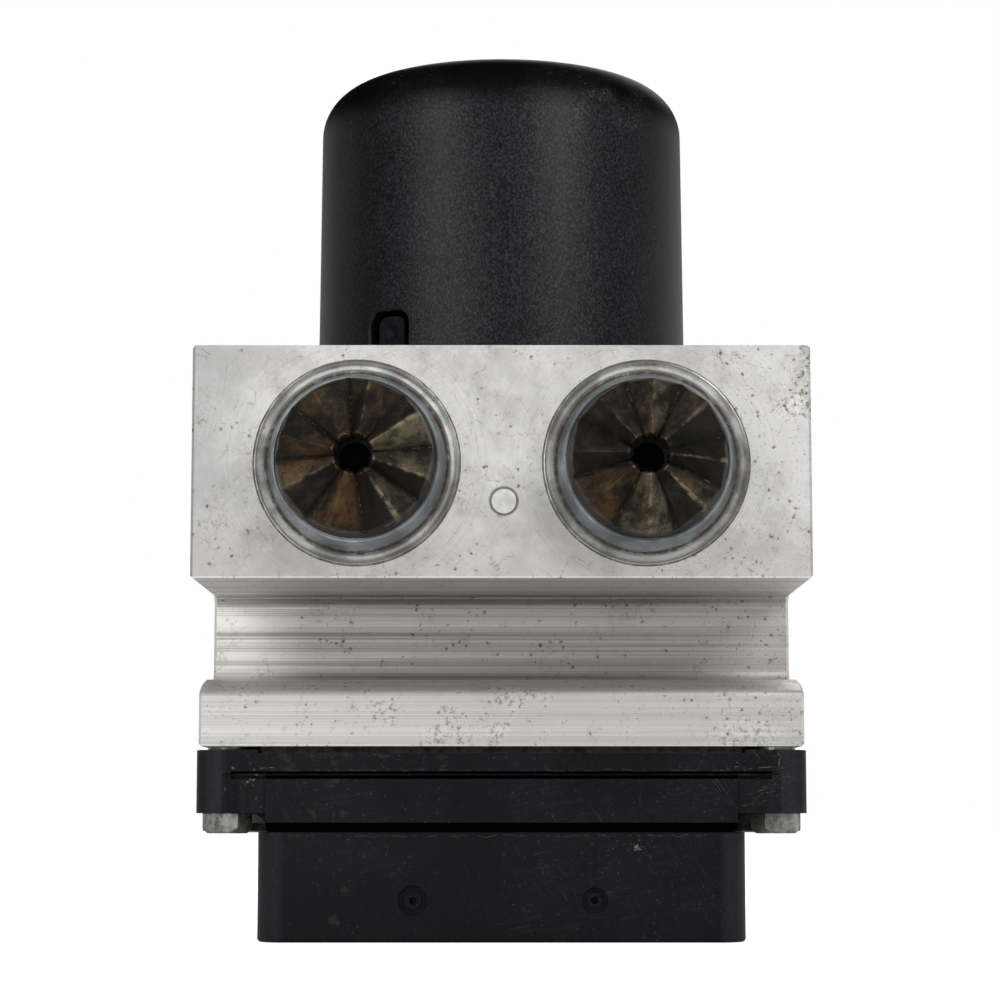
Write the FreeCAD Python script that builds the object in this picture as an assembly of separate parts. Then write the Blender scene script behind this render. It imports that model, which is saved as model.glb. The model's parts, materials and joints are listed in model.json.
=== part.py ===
import FreeCAD, Part
import math
import os

# ABS brake module: an aluminium valve block with two pleated accumulator covers, a pump motor above
# it and a controller below it. Millimetres, +X to the right, +Y to the rear, +Z up the motor shaft.
# The origin lies on the controller's flat bottom, straight below the shaft.

# Fits and running gaps
PRESS_GAP = 0.02
RUNNING_GAP = 0.03
LOOSE_GAP = 0.2

# Valve block, an extruded profile whose front face stands ahead of the shaft. Its width and its
# rear face follow from the valve rows and the controller round them
FRONT_TO_SHAFT = 50.0
HEAD_HEIGHT = 45.4
GROOVE_HEIGHT = 17.9
GROOVE_DEPTH = 46.6
GROOVE_TOP_RADIUS = 2.6
GROOVE_ROOT_RADIUS = 3.0
BAR_HEIGHT = 13.8
BAR_SETBACK = 18.9
SHOULDER_RUN = 12.6
SHOULDER_DROP = 3.1
SHOULDER_NOSE_RADIUS = 1.5
END_CHAMFER = 0.55

# Controller below the block
CASE_SETBACK = 11.45
CASE_HEIGHT = 21.6
CASE_WALL = 2.8
CASE_FLOOR = 2.4
CASE_CORNER_RADIUS = 6.0
CASE_EDGE_RADIUS = 0.8
NECK_HEIGHT = 1.85
NECK_INSET = 1.8
FLANGE_HEIGHT = 13.7
FLANGE_OVERHANG = 0.7
FLANGE_SETBACK = 18.2
FLANGE_CORNER_RADIUS = 5.4
FLANGE_WALL = 4.6
FLANGE_TO_CASE = 1.9
BOSS_LENGTH = 14.1
BOSS_LIFT = 1.9
BOSS_TOP_LENGTH = 12.6
BOSS_RISE = 0.65
BOSS_RECESS = 0.6
SCOOP_RADIUS = 5.0
SCOOP_DEPTH = 1.2
SCOOP_TO_EDGE = 8.8
SLOT_END_GAP = 7.3
SLOT_HEIGHT = 1.5
SLOT_DEPTH = 2.2
SLOT_DROP = 3.6
LIP_DROP = 0.45
LIP_HEIGHT = 0.35
LIP_RECESS = 0.35
SKIRT_GAP = 0.25
SKIRT_INSET = 0.8
SKIRT_CLEAR_RADIUS = 6.6
WEB_RADIUS = 3.4
WEB_THICKNESS = 2.0
GASKET_THICKNESS = 1.35
GASKET_INSET = 2.2
GASKET_WIDTH = 4.0
GASKET_TO_BOSS = 0.3
DIMPLE_PLACES = ((-17.5, 5.95), (18.4, 5.2))
DIMPLE_HEIGHT = 8.2
DIMPLE_DEPTH = 1.2
DIMPLE_RING_SHARE = 0.58
DIMPLE_PIN_RADIUS = 0.75
DIMPLE_PIN_DEPTH = 2.2

# Controller screws with their steel bushes
SCREW_RADIUS = 2.5
SCREW_ACROSS_FLATS = 8.6
SCREW_HEAD_HEIGHT = 3.95
SCREW_HEAD_ROUNDING = 1.0
SCREW_EDGE_X = 5.4
SCREW_EDGE_Y = 6.2
SCREW_GRIP = 9.0
SCREW_END_GAP = 1.0
BUSH_RADIUS = 4.0
BUSH_BORE_RADIUS = 2.7

# Connector at the rear of the case, with its pins and the circuit board
SOCKET_WIDTH = 60.0
SOCKET_HEIGHT = 18.4
SOCKET_LENGTH = 20.0
SOCKET_WALL = 2.2
SOCKET_FLOOR_TO_WALL = 3.0
SOCKET_EDGE_RADIUS = 2.5
PIN_COLUMNS = 9
PIN_PITCH = 4.4
PIN_SIZE = 0.8
PIN_REACH = 8.0
PIN_FOOT_INSET = 3.0
PIN_ROW_STEP = 3.0
PIN_ROW_HEIGHTS = (3.4, 7.4)
BLADE_WIDTH = 4.8
BLADE_OFFSET = 22.6
BOARD_THICKNESS = 1.6
BOARD_LIFT = 3.6
BOARD_EDGE_GAP = 1.0
POST_RADIUS = 3.0
POST_INSET = 8.0

# Accumulators in the front face: collar, cap and pleated cover, then spring, piston and seal
BORE_SPACING_SHARE = 7 / 15
BORE_DROP = 23.0
COLLAR_RADIUS = 20.15
COLLAR_LENGTH = 4.0
COLLAR_PROUD = 0.35
COLLAR_BEAD = 0.9
COLLAR_SLOPE = 0.8
CAP_RADIUS = 17.4
CAP_SEAT_DEPTH = 9.0
CAP_RISE = 5.7
CAP_RIM_RADIUS = 16.0
CAP_WALL = 1.4
CAP_FLOOR_DROP = 0.5
CAP_RIM_WIDTH = 0.5
CAP_VENT_RADIUS = 3.2
PISTON_RADIUS = 15.0
PISTON_LENGTH = 12.0
PISTON_WALL = 3.4
PISTON_FLOOR = 3.0
PISTON_BORE_END = 30.0
SEAL_RADIUS = 1.0
SEAL_FROM_FLOOR = 5.0
ACCUMULATOR_SPRING_RADIUS = 9.6
ACCUMULATOR_WIRE_RADIUS = 1.1
ACCUMULATOR_SPRING_TURNS = 4.5

# Pleated cover: a skirt and a star of eight folds round the vent, from folded sheet
SHEET_THICKNESS = 0.5
SKIRT_FOOT_RADIUS = 15.3
SKIRT_TOP_RADIUS = 15.0
SKIRT_TOP_RISE = 10.7
CREST_OUTER_RADIUS = 14.0
CREST_OUTER_RISE = 13.0
VALLEY_OUTER_RADIUS = 14.7
VALLEY_OUTER_RISE = 10.3
CREST_INNER_RADIUS = 3.3
CREST_INNER_RISE = 14.3
VALLEY_INNER_RADIUS = 3.9
VALLEY_INNER_RISE = 12.2
CREST_HALF_WIDTH = 0.55
CREST_ROUNDING = 0.25
LIP_LENGTH = 2.2
CREST_ANGLES_LEFT = (12, 57, 108, 145, 198, 243, 284, 326)
CREST_ANGLES_RIGHT = (3, 48, 95, 135, 180, 230, 272, 318)

# Press plug between the accumulators, closing a drilled channel
PLUG_RADIUS = 2.45
PLUG_LENGTH = 4.0
PLUG_CHAMFER = 0.55
PLUG_OFFSET_X = 0.45
PLUG_DROP = 30.5
CHANNEL_RADIUS = 1.5

# Pump: one bore across the block with a piston on each side of the eccentric
PUMP_DROP = 21.6
PUMP_PISTON_RADIUS = 4.0
PUMP_SPRING_LENGTH = 14.7
PUMP_STROKE = 2.4
PUMP_SPRING_RADIUS = 3.1
PUMP_WIRE_RADIUS = 0.45
PUMP_SPRING_TURNS = 6
PUMP_CHAMBER_RADIUS = 5.0
PUMP_PLUG_RADIUS = 8.0
PUMP_PLUG_LENGTH = 12.0
PUMP_PLUG_HEAD_RADIUS = 10.0
PUMP_PLUG_HEAD_LENGTH = 5.0
PUMP_PLUG_RECESS = 0.4
PUMP_PLUG_SOCKET_FLATS = 8.0
PUMP_PLUG_SOCKET_DEPTH = 4.0

# Motor
CAN_RADIUS = 38.7
CAN_TOP_RADIUS = 38.1
CAN_HEIGHT = 62.8
CAN_WALL = 2.2
CAN_CORNER_RADIUS = 10.0
POCKET_HEIGHT = 4.0
NOTCH_TURN = 35.8
NOTCH_WIDTH = 9.9
NOTCH_HEIGHT = 10.3
NOTCH_ROUNDING = 3.0
TAB_WIDTH = 6.3
TAB_HEIGHT = 9.2
TAB_THICKNESS = 3.0
TAB_SETBACK = 0.9
TAB_ROUNDING = 1.9
TAB_DENT_RADIUS = 2.6
TAB_DENT_DEPTH = 0.6
TAB_DENT_DROP = 3.3
END_PLATE_THICKNESS = 3.0
HUB_RADIUS = 12.4
HUB_LENGTH = 8.4
HUB_LIP = 0.6
HUB_LIP_RADIUS = 9.0
BEARING_RADIUS = 11.0
BEARING_HEIGHT = 7.0
BEARING_RACE = 2.2
BEARING_GROOVE = 0.5
SHAFT_RADIUS = 4.0
SHAFT_FOOT = 3.0
CAVITY_DEPTH = 33.6
ECCENTRICITY = 1.2
ECCENTRIC_RADIUS = 7.0
ECCENTRIC_LENGTH = 12.0
RING_RADIUS = 10.0
RING_LENGTH = 10.0
CAM_GAP = 0.1
BRUSH_PLATE_THICKNESS = 2.5
BRUSH_PLATE_BORE_RADIUS = 13.4
BRUSH_WIDTH = 5.0
BRUSH_HEIGHT = 6.0
BRUSH_LENGTH = 10.0
BRUSH_HOLDER_GAP = 1.5
BRUSH_TOP_GAP = 0.5
BRUSH_HOLDER_WALL = 1.2
BRUSH_HOLDER_LENGTH = 15.0
BRUSH_SPRING_RADIUS = 1.7
BRUSH_WIRE_RADIUS = 0.3
BRUSH_SPRING_TURNS = 4
SPRING_END_TURNS = 0.75
SPRING_STEPS = 10
COMMUTATOR_RADIUS = 9.2
COMMUTATOR_HEIGHT = 9.0
COMMUTATOR_BARS = 10
COMMUTATOR_SLOT = 0.6
COMMUTATOR_SLOT_DEPTH = 1.0
COMMUTATOR_FOOT = 0.5
CORE_TO_CAN_TOP = 15.8
AIR_GAP = 0.8
CORE_SLOTS = 10
CORE_SLOT_WIDTH = 4.6
CORE_SLOT_DEPTH = 12.0
WINDING_HEIGHT = 4.6
WINDING_INNER_RADIUS = 12.0
WINDING_GAP = 0.3
WINDING_INSET = 1.2
CORE_LIFT = 11.5
MAGNET_THICKNESS = 6.6
MAGNET_GAP = 0.1
MAGNET_OVERHANG = 4.0
MAGNET_SPAN = 140.0
MOTOR_SCREW_RADIUS = 2.5
MOTOR_SCREW_HEAD_RADIUS = 4.5
MOTOR_SCREW_HEAD_HEIGHT = 4.4
MOTOR_SCREW_SOCKET_RADIUS = 2.2
TERMINAL_RADIUS = 3.0
TERMINAL_DROP = 6.0
TERMINAL_PIN_RADIUS = 0.8
TERMINAL_PIN_OFFSET = 1.7

# Solenoid valves: two rows of four, domes and coils below the block
VALVES_IN_ROW = 4
YOKE_TO_YOKE = 1.2
YOKE_TO_SIDE_WALL = 1.35
YOKE_TO_REAR_WALL = 1.3
ROW_TO_ROW = 1.6
YOKE_RADIUS = 10.2
INLET_ROW_Y = 6.0
VALVE_RADIUS = 5.0
VALVE_DEPTH = 20.0
VALVE_FLANGE_RADIUS = 6.5
VALVE_FLANGE_DEPTH = 5.0
VALVE_PASSAGE_RADIUS = 1.3
DOME_RADIUS = 4.2
DOME_BORE_RADIUS = 3.2
DOME_LENGTH = 25.0
DOME_END = 1.2
PLUNGER_LENGTH = 15.0
NEEDLE_RADIUS = 0.8
NEEDLE_LENGTH = 12.0
VALVE_STROKE = 0.4
YOKE_WALL = 0.9
YOKE_LENGTH = 22.0
COIL_TO_YOKE = 0.1
COIL_LENGTH = 19.0
COIL_LEAD_RADIUS = 0.5

# Brake line ports in the rear face and mounting holes
WHEEL_PORT_RADIUS = 4.5
WHEEL_PORT_DEPTH = 14.0
WHEEL_PORT_SHARE = 7 / 30
WHEEL_PORT_DROP = 13.0
FEED_PORT_RADIUS = 5.5
FEED_PORT_DEPTH = 15.0
FEED_PORT_SHARE = 11 / 30
FEED_PORT_DROP = 35.0
MOUNT_HOLE_RADIUS = 2.5
MOUNT_HOLE_DEPTH = 12.0
MOUNT_HOLE_LIFT = 23.0
MOUNT_RIGHT_RISE = 6.0
MOUNT_HOLE_SPACING = 24.0
MOUNT_PAIR_Y = 22.0

# Places worked out from the sizes
FRONT_Y = -FRONT_TO_SHAFT
VALVE_PITCH = 2 * YOKE_RADIUS + YOKE_TO_YOKE
ROW_LENGTH = VALVES_IN_ROW * VALVE_PITCH - YOKE_TO_YOKE
CASE_WIDTH = ROW_LENGTH + 2 * (FLANGE_WALL + YOKE_TO_SIDE_WALL)
BLOCK_WIDTH = CASE_WIDTH + 2 * CASE_SETBACK
HALF_WIDTH = BLOCK_WIDTH / 2
FLANGE_HALF = HALF_WIDTH + FLANGE_OVERHANG
SLOT_LENGTH = 2 * (FLANGE_HALF - SLOT_END_GAP)
BORE_SPACING = BLOCK_WIDTH * BORE_SPACING_SHARE
WHEEL_PORT_SPACING = BLOCK_WIDTH * WHEEL_PORT_SHARE
FEED_PORT_SPACING = BLOCK_WIDTH * FEED_PORT_SHARE
COIL_RADIUS = YOKE_RADIUS - YOKE_WALL - COIL_TO_YOKE
COIL_LEAD_OFFSET = (DOME_RADIUS + COIL_RADIUS) / 2
NECK_Z = CASE_HEIGHT
FLANGE_Z = NECK_Z + NECK_HEIGHT
GASKET_Z = FLANGE_Z + FLANGE_HEIGHT
BLOCK_Z = GASKET_Z + GASKET_THICKNESS
GROOVE_Z = BLOCK_Z + BAR_HEIGHT
HEAD_Z = GROOVE_Z + GROOVE_HEIGHT
TOP_Z = HEAD_Z + HEAD_HEIGHT
FLANGE_FRONT_Y = FRONT_Y + FLANGE_SETBACK
CASE_FRONT_Y = FLANGE_FRONT_Y + FLANGE_TO_CASE
OUTLET_ROW_Y = INLET_ROW_Y + 2 * YOKE_RADIUS + ROW_TO_ROW
CASE_REAR_Y = OUTLET_ROW_Y + YOKE_RADIUS + YOKE_TO_REAR_WALL + FLANGE_WALL
FLANGE_REAR_Y = CASE_REAR_Y + FLANGE_TO_CASE
REAR_Y = FLANGE_REAR_Y
BOARD_Z = CASE_FLOOR + BOARD_LIFT
BOARD_TOP_Z = BOARD_Z + BOARD_THICKNESS
BORE_Z = TOP_Z - BORE_DROP
PUMP_Z = TOP_Z - PUMP_DROP
CAM_REACH = RING_RADIUS + ECCENTRICITY + CAM_GAP
PUMP_SEAT_X = HALF_WIDTH - PUMP_PLUG_LENGTH
PUMP_PISTON_LENGTH = PUMP_SEAT_X - CAM_REACH - PUMP_SPRING_LENGTH
PUMP_GUIDE_END_X = CAM_REACH + PUMP_PISTON_LENGTH + PUMP_STROKE + LOOSE_GAP
CAVITY_RADIUS = HUB_RADIUS + PRESS_GAP
CAN_TOP_Z = TOP_Z + CAN_HEIGHT
CAN_BORE_RADIUS = CAN_RADIUS - CAN_WALL
BRUSH_PLATE_Z = TOP_Z + END_PLATE_THICKNESS
BRUSH_Z = BRUSH_PLATE_Z + BRUSH_PLATE_THICKNESS
CORE_Z = BRUSH_Z + CORE_LIFT
CORE_HEIGHT = CAN_TOP_Z - CORE_TO_CAN_TOP - CORE_Z
MAGNET_OUTER_RADIUS = CAN_TOP_RADIUS - CAN_WALL - MAGNET_GAP
MAGNET_INNER_RADIUS = MAGNET_OUTER_RADIUS - MAGNET_THICKNESS
CORE_RADIUS = MAGNET_INNER_RADIUS - AIR_GAP
LOWER_BEARING_Z = TOP_Z - HUB_LENGTH + HUB_LIP
UPPER_BEARING_Z = CAN_TOP_Z + POCKET_HEIGHT - CAN_WALL - BEARING_HEIGHT
ACCUMULATOR_FLOOR_Y = FRONT_Y + PISTON_BORE_END
CAP_FLOOR_Y = FRONT_Y - CAP_RISE + CAP_FLOOR_DROP
SCREW_PLACES = [
    (side * (HALF_WIDTH - SCREW_EDGE_X), y)
    for side in (-1, 1)
    for y in (FLANGE_FRONT_Y + SCREW_EDGE_Y, FLANGE_REAR_Y - SCREW_EDGE_Y)
]
BOSS_Z = FLANGE_Z + BOSS_LIFT
ROWS_MIDDLE_Y = (INLET_ROW_Y + OUTLET_ROW_Y) / 2


def point(x, y, z):
    return FreeCAD.Vector(x, y, z)


UP = point(0, 0, 1)
DOWN = point(0, 0, -1)
RIGHT = point(1, 0, 0)
FORWARD = point(0, -1, 0)
REARWARD = point(0, 1, 0)


def box(x_range, y_range, z_range):
    """A box between two values on each axis."""
    corner = point(x_range[0], y_range[0], z_range[0])
    size = [high - low for low, high in (x_range, y_range, z_range)]
    return Part.makeBox(size[0], size[1], size[2], corner)


def rod(radius, length, foot, axis=UP):
    """A cylinder from its foot point along an axis."""
    return Part.makeCylinder(radius, length, foot, axis)


def tube(radius, bore, length, foot, axis=UP):
    """A straight round tube."""
    return rod(radius, length, foot, axis).cut(rod(bore, length, foot, axis))


def hexagon(across_flats, length, foot, axis=UP):
    """A hexagonal bar from its foot point along an axis."""
    radius = across_flats / math.sqrt(3)
    corners = [
        point(radius * math.cos(math.radians(60 * turn)), radius * math.sin(math.radians(60 * turn)), 0)
        for turn in range(7)
    ]
    bar = Part.Face(Part.makePolygon(corners)).extrude(UP * length)
    bar.Placement = FreeCAD.Placement(foot, FreeCAD.Rotation(UP, axis))
    return bar


def turned(outline, foot, axis=UP):
    """A solid of revolution from (radius, height) corners, stood on its foot point along an axis."""
    corners = [point(radius, 0, height) for radius, height in outline]
    face = Part.Face(Part.makePolygon(corners + corners[:1]))
    solid = face.revolve(point(0, 0, 0), UP, 360)
    solid.Placement = FreeCAD.Placement(foot, FreeCAD.Rotation(UP, axis))
    return solid


def rounded_box(x_range, y_range, z_range, radius):
    """A box with its four upright edges rounded."""
    solid = box(x_range, y_range, z_range)
    upright = [edge for edge in solid.Edges if abs(edge.tangentAt(edge.FirstParameter).z) > 0.9]
    return solid.makeFillet(radius, upright)


def joined(shapes):
    """One solid from several that meet."""
    return shapes[0].multiFuse(shapes[1:]).removeSplitter()


def skinned(rings, in_a_loop):
    """A solid skinned with flat triangles over rings that each have the same number of points.

    The rings either run in a loop back to the first one, or end in two flat caps.
    """
    faces = []
    steps = list(zip(rings, rings[1:]))
    if in_a_loop:
        steps.append((rings[-1], rings[0]))
    else:
        faces.extend(Part.Face(Part.makePolygon(ring + ring[:1])) for ring in (rings[0], rings[-1]))
    for near, far in steps:
        for place, corner in enumerate(near):
            following = (place + 1) % len(near)
            for triangle in (
                [corner, near[following], far[following], corner],
                [corner, far[following], far[place], corner],
            ):
                faces.append(Part.Face(Part.makePolygon(triangle)))
    skin = Part.makeCompound(faces)
    skin.sewShape()
    solid = Part.Solid(skin.Shells[0])
    if solid.Volume < 0:
        solid.reverse()
    return solid


def coil_spring(radius, wire_radius, length, turns, foot, axis):
    """A compression spring from its foot plane to the plane one length along, with flat end turns.

    The wire is six-sided and bent in short straight lengths. It rises only between its end turns.
    """
    rise = length - 2 * wire_radius
    active = turns - 2 * SPRING_END_TURNS
    rings = []
    for step in range(int(turns * SPRING_STEPS) + 1):
        turn = step / SPRING_STEPS
        height = wire_radius + rise * min(max((turn - SPRING_END_TURNS) / active, 0), 1)
        angle = 2 * math.pi * turn
        ring = []
        for side in range(6):
            section = math.pi * side / 3
            reach = radius + wire_radius * math.cos(section)
            lift = height + wire_radius * math.sin(section)
            ring.append(point(reach * math.cos(angle), reach * math.sin(angle), lift))
        rings.append(ring)
    spring = skinned(rings, False)
    spring.Placement = FreeCAD.Placement(foot, FreeCAD.Rotation(UP, axis))
    return spring


def edges_along_x(shape, y, z):
    """The shape's edges that run along X at one place of its profile."""
    found = []
    for edge in shape.Edges:
        middle = edge.CenterOfMass
        if abs(edge.tangentAt(edge.FirstParameter).x) > 0.9:
            if abs(middle.y - y) < 0.01 and abs(middle.z - z) < 0.01:
                found.append(edge)
    return found


def bore_places():
    """The two accumulator axes, as a side name and the point where each meets the front face."""
    return [
        (name, point(side * BORE_SPACING / 2, FRONT_Y, BORE_Z))
        for name, side in (("left", -1), ("right", 1))
    ]


def sides():
    """Side name and sign for the parts that come left and right."""
    return (("left", -1), ("right", 1))


def block_profile():
    """The extruded body: tall head, groove cut in from the front, and lower bar with its shoulder."""
    root_y = FRONT_Y + GROOVE_DEPTH
    bar_y = FRONT_Y + BAR_SETBACK
    crest_y = bar_y + SHOULDER_RUN
    nose_z = GROOVE_Z - SHOULDER_DROP
    radius = (SHOULDER_RUN**2 + SHOULDER_DROP**2) / (2 * SHOULDER_DROP)
    half_turn = math.asin(SHOULDER_RUN / radius) / 2
    arc_middle = point(
        -HALF_WIDTH,
        crest_y - radius * math.sin(half_turn),
        GROOVE_Z - radius * (1 - math.cos(half_turn)),
    )
    corners = [
        (crest_y, GROOVE_Z),
        (root_y, GROOVE_Z),
        (root_y, HEAD_Z),
        (FRONT_Y, HEAD_Z),
        (FRONT_Y, TOP_Z),
        (REAR_Y, TOP_Z),
        (REAR_Y, BLOCK_Z),
        (bar_y, BLOCK_Z),
        (bar_y, nose_z),
    ]
    places = [point(-HALF_WIDTH, y, z) for y, z in corners]
    edges = [Part.LineSegment(a, b).toShape() for a, b in zip(places, places[1:])]
    edges.append(Part.Arc(places[-1], arc_middle, places[0]).toShape())
    body = Part.Face(Part.Wire(edges)).extrude(RIGHT * BLOCK_WIDTH)
    body = body.makeFillet(GROOVE_TOP_RADIUS, edges_along_x(body, root_y, HEAD_Z))
    body = body.makeFillet(GROOVE_ROOT_RADIUS, edges_along_x(body, root_y, GROOVE_Z))
    body = body.makeFillet(SHOULDER_NOSE_RADIUS, edges_along_x(body, bar_y, nose_z))
    outline = [edge for edge in body.Edges if abs(abs(edge.CenterOfMass.x) - HALF_WIDTH) < 0.001]
    return body.makeChamfer(END_CHAMFER, outline)


def accumulator_cuts():
    """Stepped bores for the collar, the cap and the piston."""
    cuts = []
    for _, mouth in bore_places():
        cuts.append(rod(COLLAR_RADIUS + PRESS_GAP, COLLAR_LENGTH, mouth, REARWARD))
        cuts.append(rod(CAP_RADIUS + PRESS_GAP, CAP_SEAT_DEPTH, mouth, REARWARD))
        cuts.append(rod(PISTON_RADIUS, PISTON_BORE_END, mouth, REARWARD))
    return cuts


def plug_mouth():
    return point(PLUG_OFFSET_X, FRONT_Y, TOP_Z - PLUG_DROP)


def plug_cuts():
    """Chamfered seat of the press plug and the channel behind it, which meets the shaft cavity."""
    mouth = plug_mouth()
    chamfer = Part.makeCone(PLUG_RADIUS + PLUG_CHAMFER, PLUG_RADIUS, PLUG_CHAMFER, mouth, REARWARD)
    seat = rod(PLUG_RADIUS + PRESS_GAP, PLUG_LENGTH, mouth, REARWARD)
    channel = rod(CHANNEL_RADIUS, FRONT_TO_SHAFT, mouth, REARWARD)
    return [chamfer, seat, channel]


def pump_cuts():
    """Shaft cavity and, on each side, piston guide, spring chamber and stepped plug seat."""
    cuts = [rod(CAVITY_RADIUS, CAVITY_DEPTH, point(0, 0, TOP_Z), DOWN)]
    for _, side in sides():
        axis = RIGHT * side
        cuts.append(rod(PUMP_PISTON_RADIUS + RUNNING_GAP, HALF_WIDTH, point(0, 0, PUMP_Z), axis))
        start = point(side * PUMP_GUIDE_END_X, 0, PUMP_Z)
        cuts.append(rod(PUMP_CHAMBER_RADIUS, PUMP_SEAT_X - PUMP_GUIDE_END_X, start, axis))
        seat = point(side * PUMP_SEAT_X, 0, PUMP_Z)
        cuts.append(rod(PUMP_PLUG_RADIUS + PRESS_GAP, PUMP_PLUG_LENGTH, seat, axis))
        head_length = PUMP_PLUG_HEAD_LENGTH + PUMP_PLUG_RECESS
        head = point(side * (HALF_WIDTH - head_length), 0, PUMP_Z)
        cuts.append(rod(PUMP_PLUG_HEAD_RADIUS + PRESS_GAP, head_length, head, axis))
    return cuts


def motor_screw_places():
    return [(side * VALVE_PITCH, ROWS_MIDDLE_Y) for _, side in sides()]


def valve_places():
    """Row name, column number and place of each valve axis."""
    return [
        (row, column + 1, (column - (VALVES_IN_ROW - 1) / 2) * VALVE_PITCH, y)
        for row, y in (("inlet", INLET_ROW_Y), ("outlet", OUTLET_ROW_Y))
        for column in range(VALVES_IN_ROW)
    ]


def underside_cuts():
    """Valve bores, screw holes and the terminal passage, all drilled from the block's underside."""
    cuts = []
    for _, _, x, y in valve_places():
        foot = point(x, y, BLOCK_Z)
        cuts.append(rod(VALVE_RADIUS + PRESS_GAP, VALVE_DEPTH, foot))
        cuts.append(rod(VALVE_FLANGE_RADIUS + PRESS_GAP, VALVE_FLANGE_DEPTH, foot))
    for x, y in motor_screw_places():
        foot = point(x, y, BLOCK_Z)
        cuts.append(rod(MOTOR_SCREW_RADIUS + LOOSE_GAP, TOP_Z - BLOCK_Z, foot))
        cuts.append(rod(MOTOR_SCREW_HEAD_RADIUS + LOOSE_GAP, MOTOR_SCREW_HEAD_HEIGHT, foot))
    for x, y in SCREW_PLACES:
        cuts.append(rod(SCREW_RADIUS + PRESS_GAP, SCREW_GRIP + SCREW_END_GAP, point(x, y, BLOCK_Z)))
    passage = point(0, ROWS_MIDDLE_Y, BLOCK_Z)
    cuts.append(rod(TERMINAL_RADIUS + LOOSE_GAP, TOP_Z - BLOCK_Z, passage))
    return cuts


def port(radius, depth, x, drop):
    """A blind port drilled from the rear face."""
    return rod(radius, depth, point(x, REAR_Y, TOP_Z - drop), FORWARD)


def rear_and_mount_cuts():
    """Four wheel ports, two feed ports and a pair of tapped mounting holes in each end face."""
    cuts = []
    for step in (-1.5, -0.5, 0.5, 1.5):
        cuts.append(port(WHEEL_PORT_RADIUS, WHEEL_PORT_DEPTH, step * WHEEL_PORT_SPACING, WHEEL_PORT_DROP))
    for _, side in sides():
        cuts.append(port(FEED_PORT_RADIUS, FEED_PORT_DEPTH, side * FEED_PORT_SPACING / 2, FEED_PORT_DROP))
        for step in (-0.5, 0.5):
            y = MOUNT_PAIR_Y + step * MOUNT_HOLE_SPACING
            z = BLOCK_Z + MOUNT_HOLE_LIFT + (MOUNT_RIGHT_RISE if side > 0 else 0)
            mouth = point(side * HALF_WIDTH, y, z)
            cuts.append(rod(MOUNT_HOLE_RADIUS, MOUNT_HOLE_DEPTH, mouth, RIGHT * -side))
    return cuts


def hydraulic_block():
    cuts = accumulator_cuts() + plug_cuts() + pump_cuts() + underside_cuts() + rear_and_mount_cuts()
    return block_profile().cut(cuts)


def cover_collar(mouth):
    """Pressed-in collar: a beaded outer edge that slopes down to the cap's seam."""
    seam = CAP_RADIUS + PRESS_GAP
    front = COLLAR_LENGTH + COLLAR_PROUD
    outline = [
        (seam, 0),
        (COLLAR_RADIUS, 0),
        (COLLAR_RADIUS, front - COLLAR_BEAD / 2),
        (COLLAR_RADIUS - COLLAR_BEAD / 2, front),
        (COLLAR_RADIUS - COLLAR_BEAD, front),
        (seam, front - COLLAR_SLOPE),
    ]
    return turned(outline, mouth + REARWARD * COLLAR_LENGTH, FORWARD)


def cover_cap(mouth):
    """Turned cap, seated in the bore: it narrows to its rim and has a vented floor just behind it."""
    front = CAP_SEAT_DEPTH + CAP_RISE
    floor = front - CAP_FLOOR_DROP
    inner = PISTON_RADIUS
    outline = [
        (inner, 0),
        (CAP_RADIUS, 0),
        (CAP_RADIUS, CAP_SEAT_DEPTH),
        (CAP_RIM_RADIUS, front),
        (CAP_RIM_RADIUS - CAP_RIM_WIDTH, front),
        (CAP_RIM_RADIUS - CAP_RIM_WIDTH, floor),
        (CAP_VENT_RADIUS, floor),
        (CAP_VENT_RADIUS, floor - CAP_WALL),
        (CAP_RIM_RADIUS - CAP_WALL, floor - CAP_WALL),
        (inner, CAP_SEAT_DEPTH),
    ]
    return turned(outline, mouth + REARWARD * CAP_SEAT_DEPTH, FORWARD)


def star_ring(crest_angles, crest, valley, shift, setback):
    """One closed ring round a pleated cover: for each fold its valley and the crest's three points.

    crest and valley are (radius, rise ahead of the block face). Angles run clockwise from the top
    as seen from the front. shift moves the ring outwards, and setback moves it to the rear.
    """
    half_turn = math.degrees(CREST_HALF_WIDTH / crest[0])
    rounded = crest[1] - (CREST_ROUNDING if crest != valley else 0)
    corners = []
    for place, angle in enumerate(crest_angles):
        before = crest_angles[place - 1] - (360 if place == 0 else 0)
        for degrees, radius, rise in (
            ((before + angle) / 2, valley[0], valley[1]),
            (angle - half_turn, crest[0], rounded),
            (angle, crest[0], crest[1]),
            (angle + half_turn, crest[0], rounded),
        ):
            across = math.radians(degrees)
            reach = radius + shift
            corners.append(point(reach * math.sin(across), setback - rise, reach * math.cos(across)))
    return corners


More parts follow.
